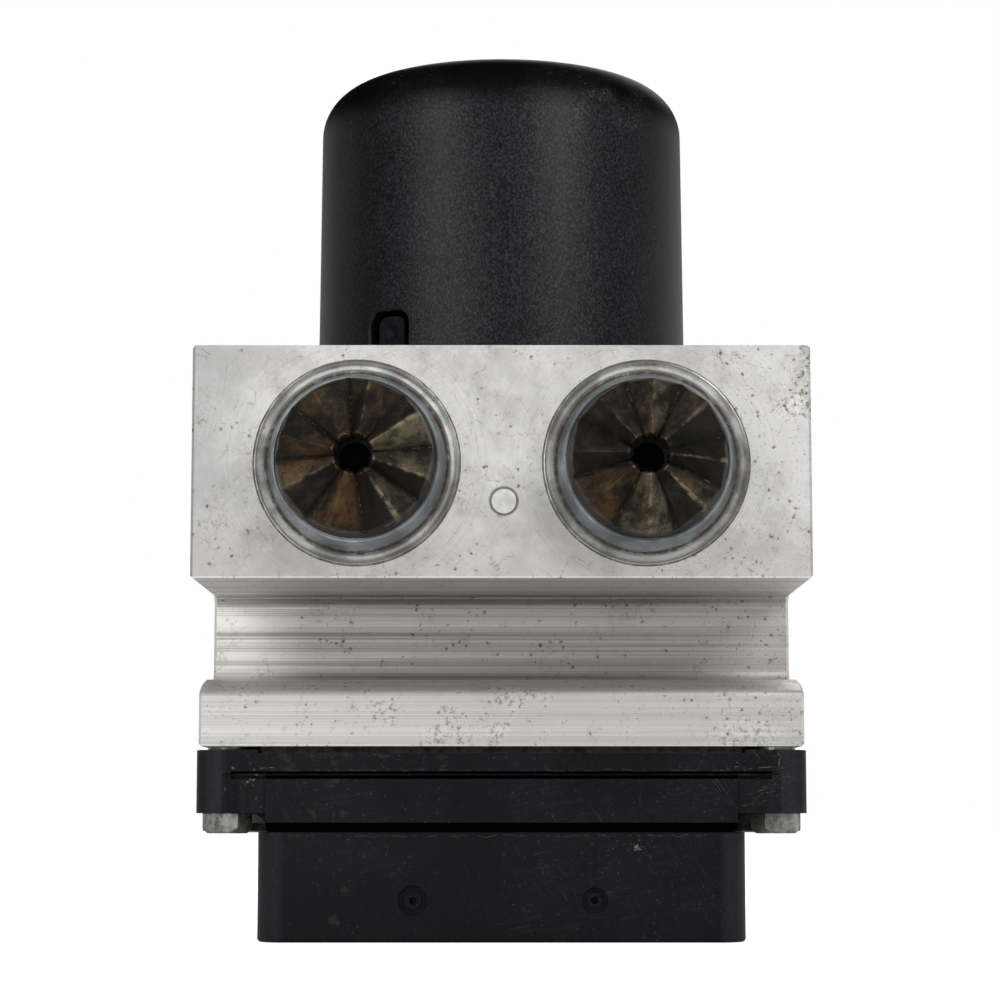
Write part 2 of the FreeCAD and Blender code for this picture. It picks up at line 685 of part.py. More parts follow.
def fluted_cover(mouth, crest_angles):
    """Pleated sheet cover: a skirt that stands in the cap, the star of folds, and a lip at the vent.

    The rings run out over the outer skin and back along the inner one, a sheet's thickness away.
    """
    foot = (SKIRT_FOOT_RADIUS, CAP_RISE - CAP_FLOOR_DROP)
    skirt_top = (SKIRT_TOP_RADIUS, SKIRT_TOP_RISE)
    crest_end = (CREST_OUTER_RADIUS, CREST_OUTER_RISE)
    valley_end = (VALLEY_OUTER_RADIUS, VALLEY_OUTER_RISE)
    crest_tip = (CREST_INNER_RADIUS, CREST_INNER_RISE)
    valley_tip = (VALLEY_INNER_RADIUS, VALLEY_INNER_RISE)
    crest_lip = (CREST_INNER_RADIUS, CREST_INNER_RISE - LIP_LENGTH)
    valley_lip = (VALLEY_INNER_RADIUS, VALLEY_INNER_RISE - LIP_LENGTH)
    sheet = SHEET_THICKNESS
    stations = [
        (foot, foot, -sheet, 0),
        (skirt_top, skirt_top, -sheet, sheet),
        (crest_end, valley_end, -sheet, sheet),
        (crest_tip, valley_tip, sheet, sheet),
        (crest_lip, valley_lip, sheet, 0),
    ]
    outer = [star_ring(crest_angles, crest, valley, 0, 0) for crest, valley, _, _ in stations]
    inner = [star_ring(crest_angles, *station) for station in reversed(stations)]
    cover = skinned(outer + inner, True)
    cover.translate(mouth)
    return cover


def accumulator_piston(mouth):
    """Cup piston, open towards the cap, with a groove for its seal ring."""
    groove = PISTON_RADIUS - 2 * SEAL_RADIUS
    outer = PISTON_RADIUS - RUNNING_GAP
    low = SEAL_FROM_FLOOR - SEAL_RADIUS
    high = SEAL_FROM_FLOOR + SEAL_RADIUS
    outline = [
        (0, 0),
        (outer, 0),
        (outer, low),
        (groove, low),
        (groove, high),
        (outer, high),
        (outer, PISTON_LENGTH),
        (outer - PISTON_WALL, PISTON_LENGTH),
        (outer - PISTON_WALL, PISTON_FLOOR),
        (0, PISTON_FLOOR),
    ]
    return turned(outline, point(mouth.x, ACCUMULATOR_FLOOR_Y, mouth.z), FORWARD)


def accumulator_seal(mouth):
    """Eight-sided seal ring in the piston's groove."""
    centre = point(mouth.x, ACCUMULATOR_FLOOR_Y - SEAL_FROM_FLOOR, mouth.z)
    section = SEAL_RADIUS - RUNNING_GAP
    outline = []
    for side in range(8):
        angle = math.pi * (side + 0.5) / 4
        outline.append(
            (PISTON_RADIUS - SEAL_RADIUS + section * math.cos(angle), section * math.sin(angle))
        )
    return turned(outline, centre, FORWARD)


def accumulator_spring(mouth):
    foot = point(mouth.x, ACCUMULATOR_FLOOR_Y - PISTON_FLOOR, mouth.z)
    length = foot.y - (CAP_FLOOR_Y + CAP_WALL)
    return coil_spring(
        ACCUMULATOR_SPRING_RADIUS, ACCUMULATOR_WIRE_RADIUS, length, ACCUMULATOR_SPRING_TURNS, foot, FORWARD
    )


def channel_plug():
    return rod(PLUG_RADIUS, PLUG_LENGTH, plug_mouth(), REARWARD)


def pump_piston(side):
    return rod(PUMP_PISTON_RADIUS, PUMP_PISTON_LENGTH, point(side * CAM_REACH, 0, PUMP_Z), RIGHT * side)


def pump_spring(side):
    start = CAM_REACH + PUMP_PISTON_LENGTH
    foot = point(side * start, 0, PUMP_Z)
    return coil_spring(
        PUMP_SPRING_RADIUS, PUMP_WIRE_RADIUS, PUMP_SEAT_X - start, PUMP_SPRING_TURNS, foot, RIGHT * side
    )


def pump_plug(side):
    """Stepped plug with a hexagonal key socket in its outer face."""
    axis = RIGHT * side
    seat = point(side * PUMP_SEAT_X, 0, PUMP_Z)
    outer = HALF_WIDTH - PUMP_PLUG_RECESS
    head = point(side * (outer - PUMP_PLUG_HEAD_LENGTH), 0, PUMP_Z)
    body = rod(PUMP_PLUG_RADIUS, outer - PUMP_SEAT_X, seat, axis)
    body = body.fuse(rod(PUMP_PLUG_HEAD_RADIUS, PUMP_PLUG_HEAD_LENGTH, head, axis)).removeSplitter()
    socket = point(side * (outer - PUMP_PLUG_SOCKET_DEPTH), 0, PUMP_Z)
    return body.cut(hexagon(PUMP_PLUG_SOCKET_FLATS, PUMP_PLUG_SOCKET_DEPTH, socket, axis))


def can_shape(inset, foot_z):
    """The drawn can's outer form, or its hollow when inset by the wall, with the bearing pocket."""
    top = CAN_TOP_Z - inset
    height = top - foot_z
    body = Part.makeCone(CAN_RADIUS - inset, CAN_TOP_RADIUS - inset, height, point(0, 0, foot_z))
    rim = [
        edge
        for edge in body.Edges
        if len(edge.Vertexes) == 1 and abs(edge.CenterOfMass.z - top) < 0.001
    ]
    body = body.makeFillet(CAN_CORNER_RADIUS - inset, rim)
    pocket_radius = BEARING_RADIUS + PRESS_GAP + CAN_WALL - inset
    return body.fuse(rod(pocket_radius, POCKET_HEIGHT, point(0, 0, top)))


def faced_block(width, height, rounding, inner, outer):
    """A block facing the front left, across the can's wall, with its two upper corners rounded."""
    block = box((-width / 2, width / 2), (-outer, -inner), (TOP_Z, TOP_Z + height))
    upper = [
        edge
        for edge in block.Edges
        if abs(edge.tangentAt(edge.FirstParameter).y) > 0.9 and edge.CenterOfMass.z > TOP_Z + height / 2
    ]
    block = block.makeFillet(rounding, upper)
    block.rotate(point(0, 0, 0), UP, -NOTCH_TURN)
    return block


def motor_can():
    """Deep-drawn can with a bearing pocket in its end and a round-shouldered notch at its base."""
    hollow = can_shape(CAN_WALL, TOP_Z)
    notch = faced_block(NOTCH_WIDTH, NOTCH_HEIGHT, NOTCH_ROUNDING, CAN_BORE_RADIUS - CAN_WALL, 2 * CAN_RADIUS)
    return can_shape(0, TOP_Z).cut(hollow).cut(notch).removeSplitter()


def motor_end_plate():
    """Steel plate that closes the can, with a hub that centres it in the block and holds a bearing."""
    bore = BEARING_RADIUS + PRESS_GAP
    outline = [
        (HUB_LIP_RADIUS, -HUB_LENGTH),
        (HUB_RADIUS, -HUB_LENGTH),
        (HUB_RADIUS, 0),
        (CAN_BORE_RADIUS - PRESS_GAP, 0),
        (CAN_BORE_RADIUS - PRESS_GAP, END_PLATE_THICKNESS),
        (bore, END_PLATE_THICKNESS),
        (bore, HUB_LIP - HUB_LENGTH),
        (HUB_LIP_RADIUS, HUB_LIP - HUB_LENGTH),
    ]
    plate = turned(outline, point(0, 0, TOP_Z))
    holes = [
        rod(MOTOR_SCREW_RADIUS + PRESS_GAP, END_PLATE_THICKNESS, point(x, y, TOP_Z))
        for x, y in motor_screw_places()
    ]
    holes.append(rod(TERMINAL_RADIUS + LOOSE_GAP, END_PLATE_THICKNESS, point(0, ROWS_MIDDLE_Y, TOP_Z)))
    holes.append(tab_block(LOOSE_GAP))
    return plate.cut(holes)


def tab_block(gap):
    """The brush plate's tab in the can's notch, or its clearance when grown by a gap."""
    outer = CAN_RADIUS - TAB_SETBACK + gap
    inner = CAN_RADIUS - TAB_SETBACK - TAB_THICKNESS - gap
    return faced_block(TAB_WIDTH + 2 * gap, TAB_HEIGHT + gap, TAB_ROUNDING, inner, outer)


def tab_dent():
    """Shallow round dent in the outer face of the tab."""
    away = CAN_RADIUS - TAB_SETBACK - TAB_DENT_DEPTH + TAB_DENT_RADIUS
    turn = math.radians(NOTCH_TURN)
    z = TOP_Z + TAB_HEIGHT - TAB_DENT_DROP
    return Part.makeSphere(TAB_DENT_RADIUS, point(-away * math.sin(turn), -away * math.cos(turn), z))


def brush_holder(side):
    """Open channel on the brush plate: two walls and an outer stop for the brush spring."""
    start = COMMUTATOR_RADIUS + BRUSH_HOLDER_GAP
    end = start + BRUSH_HOLDER_LENGTH
    half = BRUSH_WIDTH / 2 + RUNNING_GAP
    outer = half + BRUSH_HOLDER_WALL
    z_range = (BRUSH_Z, BRUSH_Z + BRUSH_HEIGHT)
    walls = []
    for low, high in ((-outer, -half), (half, outer)):
        x_range = sorted((side * max(start, BRUSH_PLATE_BORE_RADIUS), side * end))
        walls.append(box(x_range, (low, high), z_range))
    stop = sorted((side * end, side * (end + BRUSH_HOLDER_WALL)))
    walls.append(box(stop, (-outer, outer), z_range))
    return walls


def brush_plate():
    """Moulded plate on the end plate, with two brush holders and the tab that fills the can's notch."""
    disc = tube(
        CAN_BORE_RADIUS - RUNNING_GAP,
        BRUSH_PLATE_BORE_RADIUS,
        BRUSH_PLATE_THICKNESS,
        point(0, 0, BRUSH_PLATE_Z),
    )
    pieces = [disc, tab_block(0)]
    for _, side in sides():
        pieces.extend(brush_holder(side))
    return joined(pieces).cut(tab_dent())


def motor_brush(side):
    start = COMMUTATOR_RADIUS + RUNNING_GAP
    x_range = sorted((side * start, side * (start + BRUSH_LENGTH)))
    z_low = BRUSH_Z + RUNNING_GAP
    return box(x_range, (-BRUSH_WIDTH / 2, BRUSH_WIDTH / 2), (z_low, z_low + BRUSH_HEIGHT - BRUSH_TOP_GAP))


def brush_spring(side):
    start = COMMUTATOR_RADIUS + RUNNING_GAP + BRUSH_LENGTH
    end = COMMUTATOR_RADIUS + BRUSH_HOLDER_GAP + BRUSH_HOLDER_LENGTH
    foot = point(side * start, 0, BRUSH_Z + BRUSH_HEIGHT / 2)
    return coil_spring(
        BRUSH_SPRING_RADIUS, BRUSH_WIRE_RADIUS, end - start, BRUSH_SPRING_TURNS, foot, RIGHT * side
    )


def ball_bearing(foot_z):
    """A bearing as one ring with its two races marked off by shallow grooves."""
    inner = SHAFT_RADIUS + RUNNING_GAP
    outline = [
        (inner, 0),
        (inner + BEARING_RACE, 0),
        (inner + BEARING_RACE, BEARING_GROOVE),
        (BEARING_RADIUS - BEARING_RACE, BEARING_GROOVE),
        (BEARING_RADIUS - BEARING_RACE, 0),
        (BEARING_RADIUS, 0),
        (BEARING_RADIUS, BEARING_HEIGHT),
        (BEARING_RADIUS - BEARING_RACE, BEARING_HEIGHT),
        (BEARING_RADIUS - BEARING_RACE, BEARING_HEIGHT - BEARING_GROOVE),
        (inner + BEARING_RACE, BEARING_HEIGHT - BEARING_GROOVE),
        (inner + BEARING_RACE, BEARING_HEIGHT),
        (inner, BEARING_HEIGHT),
    ]
    return turned(outline, point(0, 0, foot_z))


def eccentric_centre(foot_z):
    """The eccentric's axis stands behind the shaft's, so both pistons are at mid stroke."""
    return point(0, ECCENTRICITY, foot_z)


def motor_shaft():
    foot_z = TOP_Z - CAVITY_DEPTH + SHAFT_FOOT
    top_z = UPPER_BEARING_Z + BEARING_HEIGHT - RUNNING_GAP
    shaft = rod(SHAFT_RADIUS, top_z - foot_z, point(0, 0, foot_z))
    eccentric = rod(ECCENTRIC_RADIUS, ECCENTRIC_LENGTH, eccentric_centre(PUMP_Z - ECCENTRIC_LENGTH / 2))
    return joined([shaft, eccentric])


def eccentric_ring():
    foot = eccentric_centre(PUMP_Z - RING_LENGTH / 2)
    return tube(RING_RADIUS, ECCENTRIC_RADIUS + PRESS_GAP, RING_LENGTH, foot)


def commutator():
    """Copper drum with its bars parted by slots."""
    foot = point(0, 0, BRUSH_Z - COMMUTATOR_FOOT)
    drum = tube(COMMUTATOR_RADIUS, SHAFT_RADIUS + PRESS_GAP, COMMUTATOR_HEIGHT, foot)
    slots = []
    for bar in range(COMMUTATOR_BARS):
        slot = box(
            (COMMUTATOR_RADIUS - COMMUTATOR_SLOT_DEPTH, COMMUTATOR_RADIUS + COMMUTATOR_SLOT_DEPTH),
            (-COMMUTATOR_SLOT / 2, COMMUTATOR_SLOT / 2),
            (foot.z, foot.z + COMMUTATOR_HEIGHT),
        )
        slot.rotate(point(0, 0, 0), UP, 360 * (bar + 0.5) / COMMUTATOR_BARS)
        slots.append(slot)
    return drum.cut(slots)


def slot_bars(gap, z_range):
    """Bars that fill the core's slots, narrower by a gap."""
    bars = []
    half = CORE_SLOT_WIDTH / 2 - gap
    for slot in range(CORE_SLOTS):
        bar = box((CORE_RADIUS - CORE_SLOT_DEPTH + gap, CORE_RADIUS + gap), (-half, half), z_range)
        bar.rotate(point(0, 0, 0), UP, 360 * slot / CORE_SLOTS)
        bars.append(bar)
    return bars


def armature_core():
    """Laminated core with straight winding slots."""
    core = tube(CORE_RADIUS, SHAFT_RADIUS + PRESS_GAP, CORE_HEIGHT, point(0, 0, CORE_Z))
    return core.cut(slot_bars(0, (CORE_Z, CORE_Z + CORE_HEIGHT)))


def armature_winding():
    """Winding as two end coils joined by the bars in the core's slots."""
    low = CORE_Z - WINDING_HEIGHT
    high = CORE_Z + CORE_HEIGHT
    outer = CORE_RADIUS - WINDING_INSET
    pieces = [tube(outer, WINDING_INNER_RADIUS, WINDING_HEIGHT, point(0, 0, z)) for z in (low, high)]
    limit = rod(outer, high + WINDING_HEIGHT - low, point(0, 0, low))
    for bar in slot_bars(WINDING_GAP, (low, high + WINDING_HEIGHT)):
        pieces.append(bar.common(limit))
    return joined(pieces)


def magnet(side):
    """One curved magnet against the can's wall."""
    length = CORE_HEIGHT + 2 * MAGNET_OVERHANG
    foot = point(0, 0, CORE_Z - MAGNET_OVERHANG)
    sector = Part.makeCylinder(MAGNET_OUTER_RADIUS, length, foot, UP, MAGNET_SPAN)
    sector = sector.cut(rod(MAGNET_INNER_RADIUS, length, foot))
    sector.rotate(point(0, 0, 0), UP, (0 if side > 0 else 180) - MAGNET_SPAN / 2)
    return sector


def motor_screws():
    """Two long screws from the block's underside into the motor's end plate."""
    screws = []
    for x, y in motor_screw_places():
        foot = point(x, y, BLOCK_Z)
        head = rod(MOTOR_SCREW_HEAD_RADIUS, MOTOR_SCREW_HEAD_HEIGHT, foot)
        shank = rod(MOTOR_SCREW_RADIUS, TOP_Z + END_PLATE_THICKNESS - LOOSE_GAP - BLOCK_Z, foot)
        socket = hexagon(2 * MOTOR_SCREW_SOCKET_RADIUS, MOTOR_SCREW_HEAD_HEIGHT / 2, foot)
        screws.append(joined([head, shank]).cut(socket))
    return Part.makeCompound(screws)


def motor_terminal():
    """Insulated terminal rod through the block, with two pins down to the circuit board."""
    foot_z = BLOCK_Z - TERMINAL_DROP
    body = rod(TERMINAL_RADIUS, BRUSH_PLATE_Z - foot_z, point(0, ROWS_MIDDLE_Y, foot_z))
    pins = [
        rod(
            TERMINAL_PIN_RADIUS,
            foot_z - BOARD_TOP_Z,
            point(side * TERMINAL_PIN_OFFSET, ROWS_MIDDLE_Y, BOARD_TOP_Z),
        )
        for _, side in sides()
    ]
    return joined([body] + pins)


def valve_body(x, y):
    """Valve cartridge: stem in the block, flange, and closed dome below with the plunger's bore."""
    base = point(x, y, BLOCK_Z)
    stem = rod(VALVE_RADIUS, VALVE_DEPTH, base)
    flange = rod(VALVE_FLANGE_RADIUS, VALVE_FLANGE_DEPTH, base)
    dome = rod(DOME_RADIUS, DOME_LENGTH, base, DOWN)
    bore = rod(DOME_BORE_RADIUS, DOME_LENGTH - DOME_END, point(x, y, BLOCK_Z - DOME_LENGTH + DOME_END))
    passage = rod(VALVE_PASSAGE_RADIUS, VALVE_DEPTH, base)
    return joined([stem, flange, dome]).cut([bore, passage])


def valve_bodies(row):
    return Part.makeCompound([valve_body(x, y) for name, _, x, y in valve_places() if name == row])


def valve_plunger(row, x, y):
    """Plunger with its needle. An inlet valve rests open, low in its dome, and an outlet valve shut."""
    floor = BLOCK_Z - DOME_LENGTH + DOME_END
    foot_z = floor + LOOSE_GAP + (VALVE_STROKE if row == "outlet" else 0)
    foot = point(x, y, foot_z)
    body = rod(DOME_BORE_RADIUS - RUNNING_GAP, PLUNGER_LENGTH, foot)
    needle = rod(NEEDLE_RADIUS, NEEDLE_LENGTH, foot + UP * PLUNGER_LENGTH)
    return joined([body, needle])


def coil_yokes():
    """Steel cups round the coils, hung from the valves' flanges by their open ends."""
    yokes = []
    for _, _, x, y in valve_places():
        foot = point(x, y, BLOCK_Z - YOKE_LENGTH)
        cup = rod(YOKE_RADIUS, YOKE_LENGTH, foot)
        hollow = rod(YOKE_RADIUS - YOKE_WALL, YOKE_LENGTH - YOKE_WALL, foot + UP * YOKE_WALL)
        cup = cup.cut([hollow, rod(DOME_RADIUS + RUNNING_GAP, YOKE_WALL, foot)])
        leads = [
            rod(COIL_LEAD_RADIUS + LOOSE_GAP, YOKE_WALL, foot + RIGHT * (side * COIL_LEAD_OFFSET))
            for _, side in sides()
        ]
        yokes.append(cup.cut(leads))
    return Part.makeCompound(yokes)


def valve_coils():
    """Coils on the domes, each with two leads down to the circuit board."""
    coils = []
    for _, _, x, y in valve_places():
        foot = point(x, y, BLOCK_Z - YOKE_LENGTH + YOKE_WALL)
        coil = tube(COIL_RADIUS, DOME_RADIUS + RUNNING_GAP, COIL_LENGTH, foot)
        leads = [
            rod(
                COIL_LEAD_RADIUS,
                foot.z - BOARD_TOP_Z,
                point(x + side * COIL_LEAD_OFFSET, y, BOARD_TOP_Z),
            )
            for _, side in sides()
        ]
        coils.append(joined([coil] + leads))
    return Part.makeCompound(coils)


def flange_range():
    return (-FLANGE_HALF, FLANGE_HALF), (FLANGE_FRONT_Y, FLANGE_REAR_Y)


def corner_web(side):
    """A small curved web between a corner boss's underside and the neck."""
    inner_x = side * (FLANGE_HALF - BOSS_LENGTH)
    web = box(
        sorted((inner_x, inner_x + side * WEB_RADIUS)),
        (CASE_FRONT_Y + WEB_THICKNESS, CASE_FRONT_Y + 2 * WEB_THICKNESS),
        (BOSS_Z - WEB_RADIUS, BOSS_Z),
    )
    scoop = rod(
        WEB_RADIUS,
        3 * WEB_THICKNESS,
        point(inner_x + side * WEB_RADIUS, CASE_FRONT_Y, BOSS_Z - WEB_RADIUS),
        REARWARD,
    )
    return web.cut(scoop)


def side_skirt(side):
    """Wall along one side below the flange, cut back round clear of the screw heads at its ends."""
    low, high = CASE_WIDTH / 2 - NECK_INSET - FLANGE_WALL / 2, FLANGE_HALF - SKIRT_INSET
    skirt = box(
        sorted((side * low, side * high)),
        (FLANGE_FRONT_Y + SCREW_EDGE_Y, FLANGE_REAR_Y - SCREW_EDGE_Y),
        (NECK_Z + SKIRT_GAP, FLANGE_Z),
    )
    return skirt.cut([rod(SKIRT_CLEAR_RADIUS, FLANGE_HEIGHT, point(x, y, NECK_Z)) for x, y in SCREW_PLACES])


def slot_cut(front, back, lip_range):
    """Slot along a long side of the flange, less the thin lip that runs inside it."""
    slot_z = GASKET_Z - SLOT_DROP
    half = SLOT_LENGTH / 2
    slot = box((-half, half), (front, back), (slot_z - SLOT_HEIGHT, slot_z))
    lip_z = slot_z - LIP_DROP
    return slot.cut(box((-half, half), lip_range, (lip_z - LIP_HEIGHT, lip_z)))


def ecu_frame():
    """Moulded frame under the block: flange, raised corner bosses, a lipped slot and a neck below."""
    x_range, y_range = flange_range()
    outline = rounded_box(x_range, y_range, (FLANGE_Z, GASKET_Z + BOSS_RISE), FLANGE_CORNER_RADIUS)
    boss_x = FLANGE_HALF - BOSS_LENGTH
    top_x = FLANGE_HALF - BOSS_TOP_LENGTH
    boss_y = 2 * SCREW_EDGE_Y
    inner_top = (GASKET_Z, GASKET_Z + BOSS_RISE)
    frame = outline.cut(
        [
            box((-top_x, top_x), y_range, inner_top),
            box(x_range, (FLANGE_FRONT_Y + boss_y, FLANGE_REAR_Y - boss_y), inner_top),
        ]
    )
    neck_x = CASE_WIDTH / 2 - NECK_INSET
    neck = rounded_box(
        (-neck_x, neck_x),
        (CASE_FRONT_Y + NECK_INSET, CASE_REAR_Y - NECK_INSET),
        (NECK_Z, FLANGE_Z),
        CASE_CORNER_RADIUS - NECK_INSET,
    )
    frame = frame.fuse([neck, side_skirt(-1), side_skirt(1)])
    cuts = [
        slot_cut(
            FLANGE_FRONT_Y,
            FLANGE_FRONT_Y + SLOT_DEPTH,
            (FLANGE_FRONT_Y + LIP_RECESS, FLANGE_FRONT_Y + SLOT_DEPTH),
        ),
        slot_cut(
            FLANGE_REAR_Y - SLOT_DEPTH,
            FLANGE_REAR_Y,
            (FLANGE_REAR_Y - SLOT_DEPTH, FLANGE_REAR_Y - LIP_RECESS),
        ),
    ]
    slot_foot = GASKET_Z - SLOT_DROP - LIP_DROP
    for _, side in sides():
        corner = sorted((side * boss_x, side * FLANGE_HALF))
        cuts.append(box(corner, y_range, (FLANGE_Z, BOSS_Z)))
        flat = sorted((side * boss_x, side * SLOT_LENGTH / 2))
        recess = (FLANGE_FRONT_Y, FLANGE_FRONT_Y + BOSS_RECESS)
        cuts.append(box(flat, recess, (FLANGE_Z, slot_foot)))
        scoop = point(
            side * (FLANGE_HALF - SCOOP_TO_EDGE), FLANGE_FRONT_Y + SCOOP_DEPTH - SCOOP_RADIUS, FLANGE_Z
        )
        cuts.append(rod(SCOOP_RADIUS, slot_foot - FLANGE_Z, scoop))
    inner_x = CASE_WIDTH / 2 - FLANGE_WALL
    cuts.append(
        rounded_box(
            (-inner_x, inner_x),
            (CASE_FRONT_Y + FLANGE_WALL, CASE_REAR_Y - FLANGE_WALL),
            (NECK_Z, GASKET_Z),
            CASE_CORNER_RADIUS / 2,
        )
    )
    for x, y in SCREW_PLACES:
        cuts.append(rod(BUSH_RADIUS + PRESS_GAP, FLANGE_HEIGHT + BOSS_RISE, point(x, y, FLANGE_Z)))
    frame = frame.cut(cuts)
    return joined([frame, corner_web(-1), corner_web(1)])


def ecu_gasket():
    """Seal between block and controller, drawn in at the corners clear of the screw bosses."""
    inset = GASKET_INSET
    half = FLANGE_HALF - BOSS_TOP_LENGTH - GASKET_TO_BOSS
    outer = box(
        (-half, half),
        (FLANGE_FRONT_Y + inset, FLANGE_REAR_Y - inset),
        (GASKET_Z, BLOCK_Z),
    )
    inner = box(
        (GASKET_WIDTH - half, half - GASKET_WIDTH),
        (FLANGE_FRONT_Y + inset + GASKET_WIDTH, FLANGE_REAR_Y - inset - GASKET_WIDTH),
        (GASKET_Z, BLOCK_Z),
    )
    return outer.cut(inner)


def pin_boxes():
    """Two rows of bent connector pins and two power blades, from the board out into the socket."""
    wall_y = CASE_REAR_Y + SOCKET_FLOOR_TO_WALL
    tip_y = wall_y + PIN_REACH
    half = PIN_SIZE / 2
    pins = []
    for row, lift in enumerate(PIN_ROW_HEIGHTS):
        z = BOARD_TOP_Z + lift
        foot_y = CASE_REAR_Y - CASE_WALL - PIN_FOOT_INSET - PIN_ROW_STEP * row
        for column in range(PIN_COLUMNS):
            x = (column - (PIN_COLUMNS - 1) / 2) * PIN_PITCH
            reach = box((x - half, x + half), (foot_y, tip_y), (z - half, z + half))
            leg = box((x - half, x + half), (foot_y, foot_y + PIN_SIZE), (BOARD_TOP_Z, z))
            pins.append(joined([reach, leg]))
    foot_y = CASE_REAR_Y - CASE_WALL - PIN_FOOT_INSET
    z = BOARD_TOP_Z + sum(PIN_ROW_HEIGHTS) / 2
    for _, side in sides():
        x_range = (side * BLADE_OFFSET - BLADE_WIDTH / 2, side * BLADE_OFFSET + BLADE_WIDTH / 2)
        reach = box(x_range, (foot_y, tip_y), (z - half, z + half))
        leg = box(x_range, (foot_y, foot_y + PIN_SIZE), (BOARD_TOP_Z, z))
        pins.append(joined([reach, leg]))
    return pins


def socket_z():
    low = (CASE_HEIGHT - SOCKET_HEIGHT) / 2
    return low, low + SOCKET_HEIGHT


def ecu_case():
    """Lower case: an open-topped tub with board posts, front dimples and the rear connector shroud."""
    half = CASE_WIDTH / 2
    tub = rounded_box((-half, half), (CASE_FRONT_Y, CASE_REAR_Y), (0, CASE_HEIGHT), CASE_CORNER_RADIUS)
    bottom = [edge for edge in tub.Edges if abs(edge.CenterOfMass.z) < 0.001]
    tub = tub.makeFillet(CASE_EDGE_RADIUS, bottom)
    inner = half - CASE_WALL
    hollow = rounded_box(
        (-inner, inner),
        (CASE_FRONT_Y + CASE_WALL, CASE_REAR_Y - CASE_WALL),
        (CASE_FLOOR, CASE_HEIGHT),
        CASE_CORNER_RADIUS - CASE_WALL,
    )
    low, high = socket_z()
    shroud = box(
        (-SOCKET_WIDTH / 2, SOCKET_WIDTH / 2),
        (CASE_REAR_Y - CASE_WALL, CASE_REAR_Y + SOCKET_LENGTH),
        (low, high),
    )
    along = [edge for edge in shroud.Edges if abs(edge.tangentAt(edge.FirstParameter).y) > 0.9]
    shroud = shroud.makeFillet(SOCKET_EDGE_RADIUS, along)
    socket = box(
        (SOCKET_WALL - SOCKET_WIDTH / 2, SOCKET_WIDTH / 2 - SOCKET_WALL),
        (CASE_REAR_Y + SOCKET_FLOOR_TO_WALL, CASE_REAR_Y + SOCKET_LENGTH),
        (low + SOCKET_WALL, high - SOCKET_WALL),
    )
    case = joined([tub.cut(hollow), shroud]).cut(socket)
    posts = [
        rod(POST_RADIUS, BOARD_LIFT, point(x, y, CASE_FLOOR))
        for x in (POST_INSET - half, half - POST_INSET)
        for y in (CASE_FRONT_Y + POST_INSET, CASE_REAR_Y - POST_INSET)
    ]
    case = joined([case] + posts)
    cuts = []
    for x, diameter in DIMPLE_PLACES:
        mouth = point(x, CASE_FRONT_Y, DIMPLE_HEIGHT)
        ring = diameter / 2 * DIMPLE_RING_SHARE
        cuts.append(tube(diameter / 2, ring, DIMPLE_DEPTH, mouth, REARWARD))
        cuts.append(rod(DIMPLE_PIN_RADIUS, DIMPLE_PIN_DEPTH, mouth, REARWARD))
        cuts.append(rod(ring, DIMPLE_DEPTH / 2, mouth, REARWARD))
    return case.cut(cuts).cut(pin_boxes())


def connector_pins():
    return Part.makeCompound(pin_boxes())


def circuit_board():
    gap = CASE_WALL + BOARD_EDGE_GAP
    half = CASE_WIDTH / 2 - gap
    return box((-half, half), (CASE_FRONT_Y + gap, CASE_REAR_Y - gap), (BOARD_Z, BOARD_TOP_Z))


def ecu_screws():
    """Four hexagon screws whose heads hang below the corner bosses."""
    screws = []
    for x, y in SCREW_PLACES:
        seat_z = BOSS_Z - RUNNING_GAP
        head_foot = point(x, y, seat_z - SCREW_HEAD_HEIGHT)
        head = hexagon(SCREW_ACROSS_FLATS, SCREW_HEAD_HEIGHT, head_foot)
        corner_radius = SCREW_ACROSS_FLATS / math.sqrt(3)
        rounding = turned(
            [
                (0, 0),
                (corner_radius - SCREW_HEAD_ROUNDING, 0),
                (corner_radius, SCREW_HEAD_ROUNDING),
                (corner_radius, SCREW_HEAD_HEIGHT),
                (0, SCREW_HEAD_HEIGHT),
            ],
            head_foot,
        )
        shank = rod(SCREW_RADIUS, BLOCK_Z + SCREW_GRIP - seat_z, point(x, y, seat_z))
        screws.append(joined([head.common(rounding), shank]))
    return Part.makeCompound(screws)


def ecu_bushes():
    """Steel bushes in the corner bosses, which carry the screws' grip up to the block."""
    return Part.makeCompound(
        [tube(BUSH_RADIUS, BUSH_BORE_RADIUS, BLOCK_Z - BOSS_Z, point(x, y, BOSS_Z)) for x, y in SCREW_PLACES]
    )


